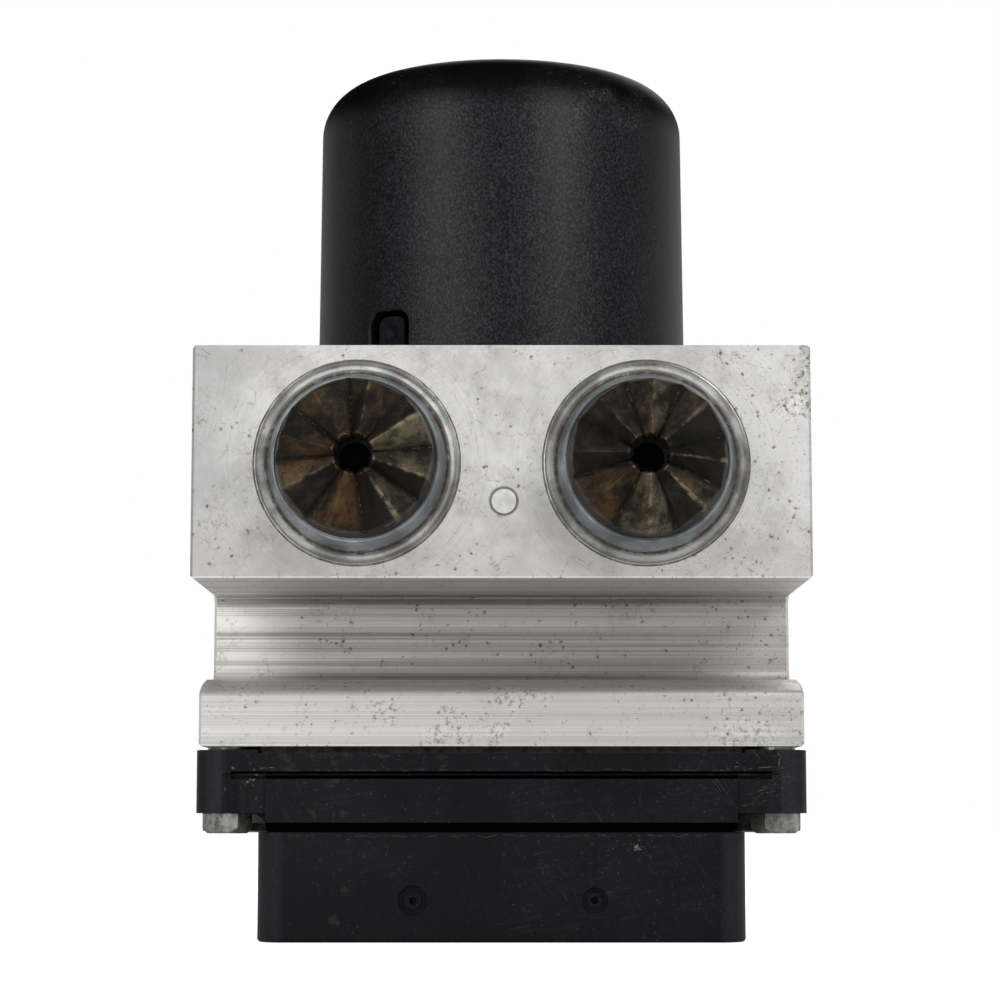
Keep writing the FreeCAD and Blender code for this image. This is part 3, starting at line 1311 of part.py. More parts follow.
def all_parts():
    """Every piece of the module by the name of its node."""
    parts = {
        "hydraulic_block": hydraulic_block(),
        "channel_plug": channel_plug(),
        "motor_can": motor_can(),
        "motor_end_plate": motor_end_plate(),
        "brush_plate": brush_plate(),
        "motor_shaft": motor_shaft(),
        "eccentric_ring": eccentric_ring(),
        "armature_core": armature_core(),
        "armature_winding": armature_winding(),
        "commutator": commutator(),
        "upper_bearing": ball_bearing(UPPER_BEARING_Z),
        "lower_bearing": ball_bearing(LOWER_BEARING_Z),
        "motor_screws": motor_screws(),
        "motor_terminal": motor_terminal(),
        "inlet_valves": valve_bodies("inlet"),
        "outlet_valves": valve_bodies("outlet"),
        "coil_yokes": coil_yokes(),
        "valve_coils": valve_coils(),
        "ecu_frame": ecu_frame(),
        "ecu_gasket": ecu_gasket(),
        "ecu_case": ecu_case(),
        "connector_pins": connector_pins(),
        "circuit_board": circuit_board(),
        "ecu_screws": ecu_screws(),
        "ecu_bushes": ecu_bushes(),
    }
    for name, mouth in bore_places():
        angles = CREST_ANGLES_LEFT if name == "left" else CREST_ANGLES_RIGHT
        parts["fluted_cover_" + name] = fluted_cover(mouth, angles)
        parts["cover_cap_" + name] = cover_cap(mouth)
        parts["cover_collar_" + name] = cover_collar(mouth)
        parts["accumulator_piston_" + name] = accumulator_piston(mouth)
        parts["accumulator_seal_" + name] = accumulator_seal(mouth)
        parts["accumulator_spring_" + name] = accumulator_spring(mouth)
    for name, side in sides():
        parts["pump_piston_" + name] = pump_piston(side)
        parts["pump_spring_" + name] = pump_spring(side)
        parts["pump_plug_" + name] = pump_plug(side)
        parts["motor_brush_" + name] = motor_brush(side)
        parts["brush_spring_" + name] = brush_spring(side)
        parts["magnet_" + name] = magnet(side)
    for row, number, x, y in valve_places():
        parts[row + "_plunger_" + str(number)] = valve_plunger(row, x, y)
    return parts


os.makedirs("parts", exist_ok=True)
for node, shape in all_parts().items():
    shape.exportStep("parts/" + node + ".step")
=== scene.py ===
import json
import math
import bmesh
import bpy
import numpy as np
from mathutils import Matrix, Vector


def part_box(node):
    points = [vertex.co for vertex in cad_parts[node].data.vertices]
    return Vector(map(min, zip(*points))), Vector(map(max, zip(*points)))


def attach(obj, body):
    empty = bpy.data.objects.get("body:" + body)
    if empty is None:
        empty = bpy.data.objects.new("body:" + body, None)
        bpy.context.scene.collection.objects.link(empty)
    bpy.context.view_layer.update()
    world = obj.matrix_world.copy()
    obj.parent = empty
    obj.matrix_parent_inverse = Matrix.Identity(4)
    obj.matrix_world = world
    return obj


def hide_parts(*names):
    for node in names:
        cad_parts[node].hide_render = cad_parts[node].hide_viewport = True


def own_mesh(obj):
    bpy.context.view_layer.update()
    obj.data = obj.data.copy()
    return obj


# ABS brake module on a pale floor, seen from the front at the height of its controller.
# Lengths are in metres in the frame's own axes: X to the right, Y to the rear, Z up the motor shaft.

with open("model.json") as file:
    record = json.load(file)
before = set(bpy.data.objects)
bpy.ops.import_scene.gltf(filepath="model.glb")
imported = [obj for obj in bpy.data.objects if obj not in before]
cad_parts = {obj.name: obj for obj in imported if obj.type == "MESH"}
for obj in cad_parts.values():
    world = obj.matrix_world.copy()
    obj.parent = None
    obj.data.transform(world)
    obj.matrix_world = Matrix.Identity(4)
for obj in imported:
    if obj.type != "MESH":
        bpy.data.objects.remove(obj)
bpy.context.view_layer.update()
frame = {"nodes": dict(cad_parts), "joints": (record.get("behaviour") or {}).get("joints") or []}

MM = 0.001
TURN = 2 * np.pi


def middle_of(node):
    """Middle of a node's box at rest."""
    low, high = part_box(node)
    return [(first + last) / 2 for first, last in zip(low, high)]


# Places and sizes read from the solids
BLOCK_LOW, BLOCK_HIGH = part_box("hydraulic_block")
FRONT_Y = BLOCK_LOW[1]
BLOCK_TOP = BLOCK_HIGH[2]
BORE_X, _, BORE_Z = middle_of("cover_collar_right")
PLUG_X, _, PLUG_Z = middle_of("channel_plug")
CAN_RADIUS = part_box("motor_can")[1][0]
FRAME_LOW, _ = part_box("ecu_frame")
FLANGE_Y = FRAME_LOW[1]
CASE_FRONT_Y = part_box("ecu_case")[0][1]

# Places on the block's profile: the bar's front, the groove's wall and the roots beside it
BAR_Y = -31.1 * MM
GROOVE_Y = -8.0 * MM
GROOVE_Z = (50.0 * MM, 70.3 * MM)
ROOF_ROOT_Z = (68.2 * MM, 70.2 * MM)
FOOT_ROOT_Z = (56.1 * MM, 57.0 * MM)
ROOF_GLEAM_Z = (67.95 * MM, 68.1 * MM)
FOOT_GLEAM_Z = (57.1 * MM, 57.25 * MM)
HEAD_FOOT_Z = (69.85 * MM, 70.15 * MM)
HEAD_EDGE_Z = (70.2 * MM, 70.5 * MM)

# The can's shoulder, the notch at its foot, and the bead round the notch
CAN_TOP = 178.4 * MM
NOTCH_TURN = math.radians(35.8)
NOTCH_HALF_WIDTH = 5.15 * MM
NOTCH_HEIGHT = 10.5 * MM
NOTCH_ROUNDING = 3.1 * MM
BEAD_RADIUS = 0.28 * MM
BEAD_SIDES = 8

# The slot in the controller's frame, with the depth and half width of its two steps, and the neck
# between frame and case
SLOT_TOP_Z = 33.6 * MM
SLOT_STEPS = ((0.45 * MM, 53.4 * MM), (1.6 * MM, 46.6 * MM))
NECK_Z = (FRAME_LOW[2], 23.45 * MM)
NECK_END_X = 46.6 * MM

# Stains seen on the block: middle, radius, how ragged and how strong
STAINS = (
    ((59.5 * MM, FRONT_Y, 108 * MM), 7 * MM, 0.8, 0.85),
    ((-49 * MM, FRONT_Y, 87 * MM), 8 * MM, 0.8, 0.2),
    ((-10 * MM, BAR_Y, 40.5 * MM), 6 * MM, 0.9, 0.6),
    ((-50 * MM, -3 * MM, 54 * MM), 7 * MM, 0.9, 0.35),
    ((24 * MM, -3 * MM, 68 * MM), 6 * MM, 0.9, 0.3),
    ((49 * MM, BAR_Y, 41 * MM), 7 * MM, 0.9, 0.5),
)

# Pale chipped lines on the frame: the axis they run along, their place across it, half width, start
# and end in mm, and strength
CHIPS = (
    ("X", 34.3, 0.09, 45, 56, 1.0),
    ("Z", 54.8, 0.09, 34.4, 37.2, 1.0),
    ("X", 33.75, 0.07, -46, 44, 0.35),
    ("X", 34.2, 0.08, -47, -44.6, 1.0),
    ("Z", 53.4, 0.06, 25.4, 32, 0.4),
    ("Z", -46.2, 0.05, 25, 32, 0.3),
    ("Z", 27.2, 0.04, 23.6, 32, 0.3),
    ("Z", 36.9, 0.05, 34.2, 37, 0.4),
)

# Angles in degrees of each cover's crests and valleys, from straight up towards the right
CRESTS = {
    "left": (12, 57, 108, 145, 198, 243, 284, 326),
    "right": (3, 48, 95, 135, 180, 230, 272, 318),
}
VALLEYS = {
    "left": (-4, 40, 84, 125, 172, 217, 267, 308),
    "right": (-18, 25, 76, 115, 160, 207, 254, 297),
}

# How grey each fold is before and after its crest, how much painted light or shade it takes there, and how
# worn each crest
GREYNESS = {
    "left": (0.1, 0.15, 0.4, 0.95, 0.85, 0.2, 0.9, 0.3, 0.0, 0.1, 0.05, 0.35, 0.1, 0.25, 0.4, 0.35),
    "right": (0.35, 0.75, 0.5, 1.0, 0.8, 0.1, 0.5, 0.9, 0.9, 0.8, 0.05, 0.1, 0.1, 0.4, 0.9, 0.4),
}
PAINTED_LIGHT = {
    "left": (0.55, 0.85, 0.7, 1.1, 0.95, 0.4, 0.8, 0.35, 1.0, 0.9, 0.5, 1.15, 0.9, 0.7, 0.75, 0.8),
    "right": (0.95, 0.9, 0.7, 0.35, 0.4, 0.25, 0.9, 0.5, 1.15, 1.05, 0.85, 0.85, 0.35, 0.5, 0.4, 0.75),
}
WEAR = {
    "left": (0.7, 0.9, 0.8, 1.0, 0.12, 0.4, 0.15, 0.12),
    "right": (0.3, 0.5, 0.8, 1.0, 0.6, 0.2, 0.15, 0.25),
}

# A pleated cover in mm: grid, thickness, skirt, way from skirt to hole, pull of the folds' ends to a
# chord, and the radius and rise of valley and crest at each control ring from skirt to lip
COVER_FOLDS = 8
COVER_COLUMNS = 512
COVER_ROWS = 44
COVER_SHEET = 0.45
SKIRT_RADIUS = 15.3
SKIRT_TO_HOLE = 12.0
CHORD_PULL = 0.34
DENT_WAVES = 14
COVER_RINGS = (
    ((15.3, 5.2), (15.3, 5.2)), ((15.2, 8.2), (15.2, 8.2)), ((15.05, 10.4), (15.05, 11.6)),
    ((14.75, 10.35), (14.7, 13.1)), ((14.1, 10.5), (13.7, 13.35)), ((11.0, 11.1), (10.6, 13.75)),
    ((8.0, 11.6), (7.6, 14.05)), ((5.6, 12.0), (5.2, 14.35)), ((4.2, 12.2), (3.6, 14.5)),
    ((3.9, 11.9), (3.3, 14.1)), ((3.9, 11.0), (3.3, 13.0)), ((3.9, 10.0), (3.3, 12.1)),
)

# Closed profiles of (radius, rise) in mm of the pressed-in collar and the turned cap
COLLAR_PROFILE = (
    (17.42, -4.0), (20.15, -4.0), (20.15, -0.15), (20.05, 0.16), (19.8, 0.33),
    (19.45, 0.35), (19.2, 0.2), (19.0, 0.02), (18.7, -0.06), (18.35, -0.02),
    (18.1, -0.12), (17.85, -0.3), (17.6, -0.36), (17.44, -0.5),
)
CAP_PROFILE = (
    (15.0, -9.0), (17.4, -9.0), (17.4, -0.15), (17.3, 0.1), (17.1, 0.5),
    (16.75, 1.9), (16.42, 3.6), (16.22, 4.9), (16.12, 5.5), (15.95, 5.7),
    (15.62, 5.7), (15.5, 5.55), (15.48, 5.2), (3.2, 5.2), (3.2, 3.8),
    (14.6, 3.8), (15.0, 0.0),
)
TURNED_STEPS = 192

# Angles past which an edge is sharp, and under which flat faces are joined, in degrees
SHARP_ANGLE = 35.0
JOIN_ANGLE = 0.3
MERGE_REACH = 0.002 * MM

# CAD node, the name of its dressed copy and the width of its rounded edges
DRESSED = (
    ("hydraulic_block", "valve_block", 0.22 * MM),
    ("motor_can", "can_shell", 0.3 * MM),
    ("ecu_frame", "controller_frame", 0.55 * MM),
    ("ecu_case", "controller_case", 0.5 * MM),
    ("ecu_screws", "controller_screws", 0.3 * MM),
    ("channel_plug", "face_plug", 0.25 * MM),
    ("brush_plate", "brush_carrier", 0.2 * MM),
    ("pump_plug_left", "side_plug_left", 0.25 * MM),
    ("pump_plug_right", "side_plug_right", 0.25 * MM),
)

# Floor, how strongly the world lights, and for each axis of a mirror ray's way the span over which
# brightness goes from one value to another
FLOOR_REACH = 6.0
FLOOR_Z = -0.05 * MM
FLOOR_GLOW = 0.76
AMBIENT = 0.34
MIRRORED = (("Y", -0.2, 0.4, 0.16, 1.0), ("Z", 0.08, 0.42, 1.0, 0.04), ("X", -0.9, 0.9, 0.6, 1.0))

# Lamps: name, place, target, width and height, watts
MODULE_MIDDLE = (0.0, 0.0, 0.09)
CAN_MIDDLE = (0.0, 0.0, 0.17)
CASE_MIDDLE = (0.0, 0.0, 0.06)
LAMPS = (
    ("key", (0.85, -1.1, 0.95), MODULE_MIDDLE, (0.6, 0.8), 13.0),
    ("fill", (-0.9, -1.0, 0.8), MODULE_MIDDLE, (0.5, 0.7), 6.0),
    ("left_panel", (-0.38, -0.85, 0.1), CASE_MIDDLE, (0.3, 0.4), 1.6),
    ("back", (0.3, 1.3, 1.1), MODULE_MIDDLE, (1.0, 0.6), 6.0),
    ("upper_left", (-0.62, -0.35, 1.25), CAN_MIDDLE, (0.3, 0.3), 0.9),
    ("upper_right", (0.75, -0.3, 1.2), CAN_MIDDLE, (0.3, 0.3), 1.3),
)

# Camera of the photo
LENS_MM = 99.0
SENSOR_MM = 36.0
CAMERA_PLACE = (-0.3 * MM, -577 * MM, 23.4 * MM)
CAMERA_TILT = math.radians(96.7)


def tone(*channels):
    """A screen colour from 0 to 255 a channel as the linear colour that a shader takes."""
    screen = np.array(channels) / 255
    linear = np.where(screen <= 0.04045, screen / 12.92, ((screen + 0.055) / 1.055) ** 2.4)
    return (*linear.tolist(), 1.0)


class Nodes:
    """A node tree under way: each method adds nodes and gives back their output."""

    def __init__(self, tree):
        self.tree = tree
        self.coordinates = tree.nodes.new("ShaderNodeTexCoord").outputs
        self.place = self.coordinates["Object"]

    def feed(self, socket, value):
        if isinstance(value, bpy.types.NodeSocket):
            self.tree.links.new(value, socket)
        else:
            socket.default_value = value

    def node(self, kind, inputs, output=0, **settings):
        made = self.tree.nodes.new("ShaderNode" + kind)
        for key, value in settings.items():
            setattr(made, key, value)
        for key, value in inputs.items():
            self.feed(made.inputs[key], value)
        return made.outputs[output]

    def axis(self, name, place=None):
        """One coordinate of the place."""
        return self.node("SeparateXYZ", {0: place or self.place}, output="XYZ".index(name))

    def distance(self, place, centre):
        return self.node("VectorMath", {0: place, 1: centre}, output=1, operation="DISTANCE")

    def moved(self, place, scale=(1, 1, 1), turn=(0, 0, 0)):
        """The place stretched by scale, after a turn in degrees."""
        turned_by = tuple(math.radians(angle) for angle in turn)
        return self.node("Mapping", {0: place, "Rotation": turned_by, "Scale": scale})

    def noise(self, scale, detail=4.0, rough=0.55, place=None):
        inputs = {"Scale": scale, "Detail": detail, "Roughness": rough}
        return self.node("TexNoise", {0: place or self.place, **inputs})

    def lined_noise(self, value, scale, detail, rough):
        """Noise that changes with one value only."""
        line = self.node("CombineXYZ", {0: self.times(value, scale), 1: 0.0, 2: 0.0})
        return self.noise(1.0, detail, rough, line)

    def cells(self, scale):
        """Distance to the nearest of a crowd of points, as a share of the cells' size."""
        return self.node("TexVoronoi", {0: self.place, "Scale": scale})

    def maths(self, operation, first, second=0.0, held=False):
        return self.node("Math", {0: first, 1: second}, operation=operation, use_clamp=held)

    def times(self, first, second):
        return self.maths("MULTIPLY", first, second)

    def plus(self, first, second, held=False):
        return self.maths("ADD", first, second, held)

    def less(self, first, second):
        return self.maths("SUBTRACT", first, second)

    def size_of(self, value):
        return self.maths("ABSOLUTE", value)

    def most(self, *values):
        highest = values[0]
        for value in values[1:]:
            highest = self.maths("MAXIMUM", highest, value)
        return highest

    def band(self, value, low, high, at_low=0.0, at_high=1.0):
        """The value carried from low..high to at_low..at_high, held at both ends, eased between."""
        inputs = {0: value, 1: low, 2: high, 3: at_low, 4: at_high}
        return self.node("MapRange", inputs, interpolation_type="SMOOTHSTEP")

    def fade(self, value, low, high, at_low=1.0):
        """at_low up to low, easing to 0 at high."""
        return self.band(value, low, high, at_low, 0.0)

    def within(self, value, low, high, soft):
        """1 between low and high, 0 past a soft rim outside them."""
        return self.times(self.band(value, low - soft, low), self.fade(value, high, high + soft))

    def near(self, value, middle, reach, at_middle=1.0):
        """at_middle where value is at middle, easing to 0 at a reach from it."""
        return self.fade(self.size_of(self.less(value, middle)), 0.0, reach, at_middle)

    def camera_sees(self):
        """What kind each ray is, and 1 for those from the camera, straight or through glass."""
        rays = self.tree.nodes.new("ShaderNodeLightPath").outputs
        return rays, self.most(rays["Is Camera Ray"], rays["Is Transmission Ray"])

    def mix(self, share, first, second):
        """First colour where share is 0, second where it is 1."""
        inputs = {"Factor": share, 6: first, 7: second}
        return self.node("Mix", inputs, output=2, data_type="RGBA")


class Look(Nodes):
    """A procedural material under way, with what the finishes of this module share."""

    def __init__(self, name, **constants):
        self.material = bpy.data.materials.new(name)
        self.material.use_nodes = True
        super().__init__(self.material.node_tree)
        self.shader = self.tree.nodes["Principled BSDF"]
        for socket, value in constants.items():
            self.shader.inputs[socket.replace("_", " ")].default_value = value

    def over(self, colour, share, screen_colour, strength=1.0):
        """The colour with a screen colour laid over it, by a share thinned to a strength."""
        return self.mix(self.times(share, strength), colour, tone(*screen_colour))

    def spot(self, centre, radius, ragged):
        """1 inside a ragged round patch about a point, falling to 0 at its radius."""
        wobble = self.band(self.noise(0.9 / radius), 0.3, 0.7, 1 - ragged, 1 + ragged)
        away = self.times(self.distance(self.place, centre), wobble)
        return self.fade(away, radius * 0.35, radius)

    def dash(self, value, middle, half_width, along, start, end, strength):
        """A thin line where value is near middle, from start to end of the way along it."""
        line = self.near(value, middle, half_width, strength)
        return self.times(line, self.within(along, start, end, 0.5 * MM))

    def scratches(self, turn, length, width, share):
        """Thin straight lines: noise drawn out along one way, kept where it is near its middle."""
        scale = (1 / length, 1 / width, 1 / width)
        long_way = self.moved(self.place, turn=turn)
        drawn = self.noise(1.0, 1.0, 0.3, self.moved(long_way, scale=scale))
        some = self.band(self.noise(0.35 / length), 0.62 - share, 0.7 - share)
        return self.times(self.near(drawn, 0.5, 0.012), some)

    def bump(self, height, depth, strength):
        return self.node("Bump", {"Height": height, "Distance": depth, "Strength": strength})

    def done(self, colour, roughness, normal, metallic=None):
        for socket, value in (("Base Color", colour), ("Roughness", roughness), ("Normal", normal)):
            self.feed(self.shader.inputs[socket], value)
        if metallic is not None:
            self.feed(self.shader.inputs["Metallic"], metallic)
        return self.material


def bore_reach(look):
    """Distance from the nearer accumulator bore's axis, the left half folded onto the right."""
    across = look.size_of(look.axis("X"))
    folded = look.node("CombineXYZ", {0: across, 1: 0.0, 2: look.axis("Z")})
    return look.distance(folded, (BORE_X, 0.0, BORE_Z))


def drawn_metal(look, side, high, deep, streak):
    """Colour of the extruded profile: streaks along it, and painted shade that makes the groove darker than
    the bar.

    up_to_wall is 1 as far back as the groove's wall, and 0 behind it.
    """
    up_to_wall = look.fade(deep, GROOVE_Y + 6 * MM, GROOVE_Y + 9 * MM)
    recess = look.times(look.band(deep, BAR_Y + 4 * MM, GROOVE_Y), up_to_wall)
    recess = look.times(recess, look.within(high, *GROOVE_Z, 0.4 * MM))
    streaky = look.band(streak, 0.35, 0.65)
    # Painted shade: the groove takes darker tones than the bar in front of it
    outer = look.mix(streaky, tone(186, 184, 180), tone(220, 218, 215))
    inner = look.mix(streaky, tone(148, 143, 137), tone(210, 207, 203))
    colour = look.mix(recess, outer, inner)

    # Painted highlight at the groove's left end; painted shade darkens its roots, with a painted highlight
    # line beside each
    left_highlight = look.fade(side, -57 * MM, -38 * MM)
    left_highlight = look.times(left_highlight, look.band(streak, 0.36, 0.6, 0.25, 1.0))
    colour = look.over(colour, look.times(left_highlight, recess), (246, 243, 238))
    roots = look.most(look.within(high, *ROOF_ROOT_Z, 0.15 * MM), look.within(high, *FOOT_ROOT_Z, 0.15 * MM))
    roots = look.times(look.band(deep, GROOVE_Y - 1.5 * MM, GROOVE_Y - 0.6 * MM), roots)
    colour = look.over(colour, look.times(roots, recess), (122, 125, 130), 0.28)
    gleam = look.most(
        look.times(look.within(high, *ROOF_GLEAM_Z, 0.08 * MM), look.fade(side, -48 * MM, -26 * MM, 0.9)),
        look.times(look.within(high, *FOOT_GLEAM_Z, 0.08 * MM), look.fade(side, -46 * MM, -12 * MM, 0.6)),
    )
    colour = look.over(colour, look.times(gleam, recess), (240, 238, 234))

    # The head's underside is pale, with painted shade in a dark line just behind its front edge, and the
    # groove is paler towards its right end
    under_head = look.times(look.within(high, *HEAD_FOOT_Z, 0.04 * MM), up_to_wall)
    colour = look.over(colour, under_head, (232, 222, 212), 0.85)
    # Painted shade: a dark line just behind the head's front edge
    lip = look.fade(deep, FRONT_Y + 0.8 * MM, FRONT_Y + 3.5 * MM, 0.75)
    colour = look.over(colour, look.times(under_head, lip), (70, 64, 58))
    right_end = look.band(side, 30 * MM, 57 * MM, 0.0, 0.35)
    return look.over(colour, look.times(right_end, recess), (206, 202, 196))


def fly_cut_metal(look, side, high, on_front, cloud):
    """Colour of the milled faces: clouds, faint arcs of the cutter round each bore, painted shade to the
    left and low down, and a painted highlight on the head's lower edge.
    """
    reach = bore_reach(look)
    arcs = look.band(look.lined_noise(reach, 1900.0, 2.0, 0.6), 0.35, 0.65)
    close_by = look.band(reach, 20 * MM, 34 * MM, 1.0, 0.25)
    colour = look.mix(cloud, tone(198, 197, 195), tone(226, 225, 223))
    left_shade = look.times(look.fade(side, -60 * MM, -42 * MM, 0.7), on_front)
    colour = look.over(colour, left_shade, (176, 176, 177))
    low_shade = look.fade(high, 72 * MM, 84 * MM, 0.5)
    colour = look.over(colour, low_shade, (186, 182, 177))
    colour = look.over(colour, look.times(arcs, close_by), (150, 148, 146), 0.2)
    # Painted highlight along the head's lower edge
    low_edge_highlight = look.times(look.within(high, *HEAD_EDGE_Z, 0.1 * MM), on_front)
    colour = look.over(colour, low_edge_highlight, (238, 238, 236), 0.5)
    outline = look.near(reach, 23.5 * MM, 0.12 * MM, 0.5)
    broken = look.band(look.noise(160.0, 4.0, 0.6), 0.45, 0.6)
    return look.over(colour, look.times(outline, broken), (128, 116, 102))


def hairline_cracks(look):
    """Thin bent lines of dirt: the edges of cells over a warped place, kept here and there."""
    warp = look.node("VectorMath", {0: look.noise(240.0, 4.0, 0.6), "Scale": 3 * MM}, operation="SCALE")
    warped = look.node("VectorMath", {0: look.place, 1: warp}, operation="ADD")
    edge = look.node("TexVoronoi", {0: warped, "Scale": 210.0}, feature="DISTANCE_TO_EDGE")
    kept = look.band(look.noise(320.0, 4.0, 0.6), 0.5, 0.62)
    return look.times(look.fade(edge, 0.0, 0.022), kept)


def brown_specks(look, side, facing):
    """Corrosion in fine grains and larger ragged dots, thicker in some zones and to the right."""
    patchy = look.band(look.noise(95.0, 5.0, 0.7), 0.45, 0.62)
    right_end = look.band(side, 22 * MM, 56 * MM, 0.0, 0.8)
    right_end = look.times(right_end, look.band(facing, 0.6, 0.8, 1.0, 0.3))
    crowd = look.plus(patchy, right_end, held=True)
    grains = look.band(look.noise(1500.0, 4.0, 0.75), 0.59, 0.64)
    crinkle = look.times(look.less(look.noise(3600.0, 3.0, 0.7), 0.5), 0.9)
    dots = look.fade(look.plus(look.cells(560.0), crinkle), 0.08, 0.24)
    dots = look.times(dots, look.band(look.noise(380.0, 2.0, 0.5), 0.47, 0.54))
    return look.most(
        look.times(look.times(grains, crowd), 0.7),
        look.times(dots, look.band(crowd, 0.1, 0.7)),
    )


def milled_block_finish():
    """Light aluminium: fly-cut faces with faint arcs, drawn streaks in the profile, brown specks."""
    look = Look("milled_block", Metallic=0.7, IOR=1.45)
    side = look.axis("X")
    high = look.axis("Z")
    deep = look.axis("Y")
    on_front = look.fade(deep, FRONT_Y + 0.4 * MM, FRONT_Y + 0.9 * MM)
    facing = look.size_of(look.axis("X", look.coordinates["Normal"]))
    flat = look.most(on_front, look.band(facing, 0.6, 0.8))
    fine = look.noise(1.0, 6.0, 0.65, look.moved(look.place, scale=(9, 5200, 5200)))
    broad = look.noise(1.0, 3.0, 0.5, look.moved(look.place, scale=(2, 420, 420)))
    streak = look.plus(look.times(fine, 0.6), look.times(broad, 0.4))
    cloud = look.band(look.noise(90.0, 6.0, 0.68), 0.34, 0.62)
    drawn = drawn_metal(look, side, high, deep, streak)
    milled = fly_cut_metal(look, side, high, on_front, cloud)
    colour = look.mix(flat, drawn, milled)
    # Painted highlight on the rounded edges off the front face
    edge_highlight = look.times(look.within(facing, 0.4, 0.85, 0.1), look.less(1.0, on_front))
    colour = look.over(colour, edge_highlight, (240, 240, 238), 0.7)

    # Dirt: cracks, smudges, handling scratches, specks and the stains that the photo shows
    colour = look.over(colour, look.times(hairline_cracks(look), flat), (104, 92, 72), 0.5)
    smudge = look.band(look.noise(190.0, 6.0, 0.75), 0.54, 0.74)
    colour = look.over(colour, smudge, (132, 122, 106), 0.3)
    lines = look.most(
        look.scratches((0, 25, 0), 18 * MM, 0.5 * MM, 0.12),
        look.scratches((0, -40, 0), 14 * MM, 0.45 * MM, 0.1),
        look.scratches((0, 80, 0), 20 * MM, 0.5 * MM, 0.09),
    )
    colour = look.over(colour, lines, (130, 124, 116), 0.3)
    specks = brown_specks(look, side, facing)
    colour = look.over(colour, specks, (84, 64, 34), 0.8)
    stains = look.most(*(look.times(look.spot(*patch), strength) for *patch, strength in STAINS))
    mottle = look.band(look.noise(900.0, 5.0, 0.75), 0.5, 0.6)
    colour = look.over(colour, look.times(stains, mottle), (94, 74, 40))

    # Dark line round the press plug
    from_plug = look.distance(look.place, (PLUG_X, FRONT_Y, PLUG_Z))
    colour = look.over(colour, look.fade(from_plug, 2.6 * MM, 3.1 * MM), (96, 92, 88), 0.5)

    rough_drawn = look.band(streak, 0.3, 0.7, 0.5, 0.38)
    rough_milled = look.band(cloud, 0.0, 1.0, 0.62, 0.5)
    rough = look.node("Mix", {"Factor": flat, 2: rough_drawn, 3: rough_milled}, data_type="FLOAT")
    rough = look.plus(rough, look.times(look.most(specks, stains), 0.25), held=True)
    relief = look.less(look.times(fine, 0.5), look.most(specks, lines))
    return look.done(colour, rough, look.bump(relief, 0.02 * MM, 0.5))


def turned_finish():
    """Turned aluminium with rings from the tool, dull patches, painted highlight arcs and a painted
    highlight on a ridge, brown dirt, and painted shade inside the cap.
    """
    look = Look("turned_metal", IOR=1.45)
    reach = bore_reach(look)
    deep = look.axis("Y")
    wander = look.times(look.noise(70.0, 3.0), 0.8 * MM)
    path = look.plus(look.plus(reach, deep), wander)
    rings = look.lined_noise(path, 2300.0, 4.0, 0.7)
    patch = look.noise(115.0, 5.0, 0.65)
    on_collar = look.band(reach, 17.5 * MM, 17.8 * MM)
    dull = look.mix(on_collar, tone(128, 135, 142), tone(176, 173, 166))
    fresh = look.mix(on_collar, tone(190, 195, 199), tone(232, 230, 225))
    colour = look.mix(look.band(rings, 0.35, 0.65), dull, fresh)
    colour = look.over(colour, look.band(patch, 0.4, 0.66, 0.0, 0.55), (64, 67.5, 71))
    # Painted highlight: bright arcs along the rings
    arc_highlights = look.times(look.fade(patch, 0.28, 0.42), look.band(rings, 0.45, 0.6))
    colour = look.over(colour, arc_highlights, (244, 244, 244))

    # Dirt in flecks, in the seam between collar and cap and at the collar's outer edge; a painted highlight
    # on the ridge
    flecks = look.noise(380.0, 5.0, 0.7)
    uneven_reach = look.plus(reach, look.times(look.less(patch, 0.5), 0.8 * MM))
    sunk = look.band(deep, FRONT_Y - 0.6 * MM, FRONT_Y - 0.2 * MM)
    seam = look.times(look.within(uneven_reach, 17.25 * MM, 17.75 * MM, 0.25 * MM), sunk)
    seam = look.times(seam, look.band(flecks, 0.4, 0.52))
    outer = look.within(uneven_reach, 19.85 * MM, 20.6 * MM, 0.1 * MM)
    outer = look.times(outer, look.band(flecks, 0.44, 0.56))
    dirt = look.most(look.band(flecks, 0.63, 0.71), seam, look.times(outer, 0.8))
    colour = look.over(colour, look.within(reach, 19.5 * MM, 20.6 * MM, 0.25 * MM), (104, 99, 92), 0.6)
    ridge_highlight = look.within(uneven_reach, 18.3 * MM, 19.0 * MM, 0.25 * MM)
    ridge_highlight = look.times(ridge_highlight, look.band(patch, 0.4, 0.56, 1.0, 0.2))
    colour = look.over(colour, ridge_highlight, (246, 244, 240), 0.7)
    colour = look.over(colour, dirt, (70, 52, 34), 0.85)
    # Painted shade: the cap nearly black inside, under the pleated sheet
    inside = look.fade(reach, 14.9 * MM, 15.4 * MM)
    colour = look.over(colour, inside, (8, 7, 6))
    metal = look.less(0.85, look.times(look.most(inside, dirt), 0.85))
    rough = look.band(rings, 0.3, 0.7, 0.42, 0.24)
    rough = look.plus(rough, look.times(dirt, 0.4), held=True)
    relief = look.less(rings, look.times(dirt, 0.6))
    return look.done(colour, rough, look.bump(relief, 0.06 * MM, 0.7), metal)


